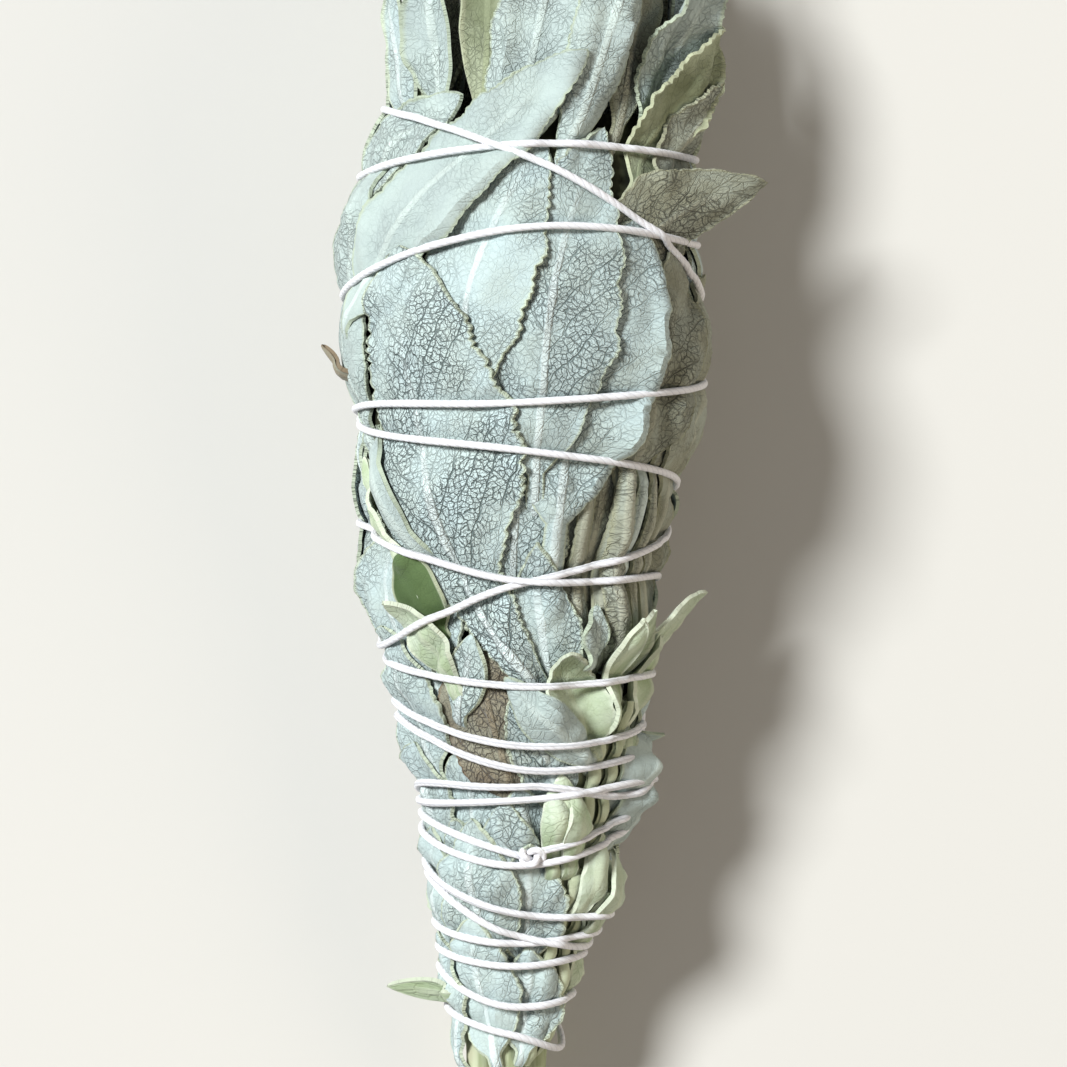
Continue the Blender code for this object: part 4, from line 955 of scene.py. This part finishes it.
def cotton_finish():
    """Soft off-white cotton, with fibres along its plies and painted shade where the plies meet."""
    made, tree, shader = bare_material("cotton_string", 0.95, 0.25)
    twist, run, _ = parts_of(tree, add(tree, "Attribute", attribute_name="place").outputs["Vector"])
    lobes = maths(tree, "ABSOLUTE", maths(tree, "COSINE", product(tree, twist, 1.5)))
    wrapped = add(tree, "CombineXYZ", {0: product(tree, maths(tree, "SINE", twist), 3.0),
                                       1: product(tree, maths(tree, "COSINE", twist), 3.0),
                                       2: product(tree, run, 0.5)}).outputs[0]
    fibres = noise(tree, wrapped, 2.2, 3.0, 0.7)[0]
    # painted shade: the colour darkens where the plies meet
    colour = mixed(tree, ramp(tree, lobes, 0.0, 0.45), (0.66, 0.64, 0.68), (0.80, 0.785, 0.81))
    colour = mixed(tree, ramp(tree, fibres, 0.4, 0.75, 0.0, 0.35), colour, (0.66, 0.64, 0.66))
    height = maths(tree, "MULTIPLY_ADD", fibres, 0.6, product(tree, lobes, 0.5))
    paint(tree, shader, colour, height, 0.9, 0.12)
    return made


def all_finishes():
    groups = {"veins": vein_group(), "felt": felt_group()}
    return {name: leaf_finish(groups, *looks) for name, looks in LEAF_LOOKS.items()} | {
        "stem": stem_finish(), "pith": pith_finish(), "deep": gap_shade_finish(), "cotton": cotton_finish()}


# Assembly

# The leaves with nodes of their own that aren't plain sage leaves
OWN_SLOT = {name: "young_leaf" for name in ("young_1", "roll_right", "bud", "tail_tip")}
OWN_SLOT["brown"] = "withered_leaf"
LAMPS = (  # name, place, size and power, in metres and watts, and colour
    ("window", (-2.3, 1.4, 3.3), 1.2, 300, (0.94, 0.985, 1.0)),
    ("fill", (1.9, -0.9, 1.3), 1.6, 20, (1.0, 0.84, 0.62)),
)
SKY_COLOUR, SKY_STRENGTH, FLOOR_COLOUR = (0.93, 0.97, 1.0, 1), 0.23, (0.57, 0.545, 0.51, 1)
VIEW_X, VIEW_HEIGHT = 1.4 * MM, 22 * MM  # the photograph's middle on the outline's axes, and its level
VIEW_DISTANCE, VIEW_WIDTH, SENSOR = 0.85, 128 * MM, 36


def join(name, pieces):
    deselect()
    for piece in pieces:
        piece.select_set(True)
    bpy.context.view_layer.objects.active = pieces[0]
    if len(pieces) > 1:
        bpy.ops.object.join()
    whole = bpy.context.view_layer.objects.active
    whole.name = name
    bpy.ops.object.shade_smooth_by_angle(angle=math.radians(50))
    return whole


def dress(piece, node):
    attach(piece, "root")
    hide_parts(node)


def nearest_sprig(angle):
    return RING_NAMES[int(round((angle % 360) / 60)) % len(RING_NAMES)]


def build_stick(finishes):
    """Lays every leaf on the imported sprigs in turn, then winds the string over them."""
    heap = Heap(packed(GRID_ALONG, GRID_ANGLE) - STRING_BITE)
    sprigs = {"centre": [make_sprig("centre", None, finishes, -0.6 * MM)]}
    for number, name in enumerate(RING_NAMES):
        end_offset = 0.9 * MM * (number * 5 % 7) / 3
        sprigs[name] = [make_sprig(name, math.radians(60 * number), finishes, end_offset)]
    for owner, leaf, share in inner_tuft():
        bed = share * packed(GRID_ALONG, GRID_ANGLE)
        sprigs[owner].append(make_leaf(leaf, Heap(bed), finishes, bed))
    for leaf in side_leaves():
        sprigs[nearest_sprig(leaf.foot[0])].append(make_leaf(leaf, heap, finishes))
    for number, batch in enumerate((TUFT, UPPER, MIDDLE, LOWER, TAIL, STANDING_OUT)):
        for leaf in (*back_leaves(number), *UNDER.get(number, ()), *batch, *SMALL.get(number, ())):
            made = make_leaf(leaf, heap, finishes)
            if "own" in leaf.more:
                whole = join("dressed_leaf_" + leaf.name, [made])
                dress(whole, "leaf_" + leaf.name)
            else:
                sprigs[nearest_sprig(leaf.foot[0])].append(made)
    for name, pieces in sprigs.items():
        whole = join("dressed_sprig_" + name, pieces)
        dress(whole, "sprig_" + name)
    line = wound_string(heap)
    string = sweep_string("string_wound", line, STRING)
    knot_place = (line[0] + line[-1]) / 2 + np.array([0, 0, 0.5 * MM])
    knot = sweep_string("string_knot", knot_line(knot_place), STRING)
    for part in (string, knot):
        part.data.materials.append(finishes["cotton"])
    whole = join("dressed_string", [string, knot])
    dress(whole, "string")


def add_light(name, place, size, power, colour):
    lamp = bpy.data.lights.new(name, "AREA")
    lamp.shape, lamp.size, lamp.energy, lamp.color = "DISK", size, power, colour
    thing = bpy.data.objects.new(name, lamp)
    bpy.context.scene.collection.objects.link(thing)
    thing.location = place
    thing.rotation_euler = (-Vector(place)).to_track_quat("-Z", "Y").to_euler()


def set_stage():
    """A plain pale floor, soft light from the upper left, and the camera straight above."""
    deselect()
    bpy.ops.mesh.primitive_plane_add(size=6, location=(0, 0, 0))
    floor = bpy.context.object
    floor.name = "floor"
    made, _, shader = bare_material("pale_floor", 0.7)
    shader.inputs["Base Color"].default_value = FLOOR_COLOUR
    floor.data.materials.append(made)
    scene = bpy.context.scene
    scene.world = bpy.data.worlds.new("soft light")
    scene.world.use_nodes = True
    sky = scene.world.node_tree.nodes["Background"]
    sky.inputs["Color"].default_value, sky.inputs["Strength"].default_value = SKY_COLOUR, SKY_STRENGTH
    for lamp in LAMPS:
        add_light(*lamp)
    scene.view_settings.view_transform = "Standard"
    camera = bpy.data.cameras.new("camera")
    thing = bpy.data.objects.new("camera", camera)
    scene.collection.objects.link(thing)
    thing.location = (VIEW_X - SET_DOWN[0], -SET_DOWN[1], VIEW_HEIGHT + VIEW_DISTANCE)
    camera.sensor_width, camera.lens = SENSOR, SENSOR * VIEW_DISTANCE / VIEW_WIDTH
    camera.clip_start, camera.clip_end = 0.01, 20
    scene.camera = thing


build_stick(all_finishes())
set_stage()
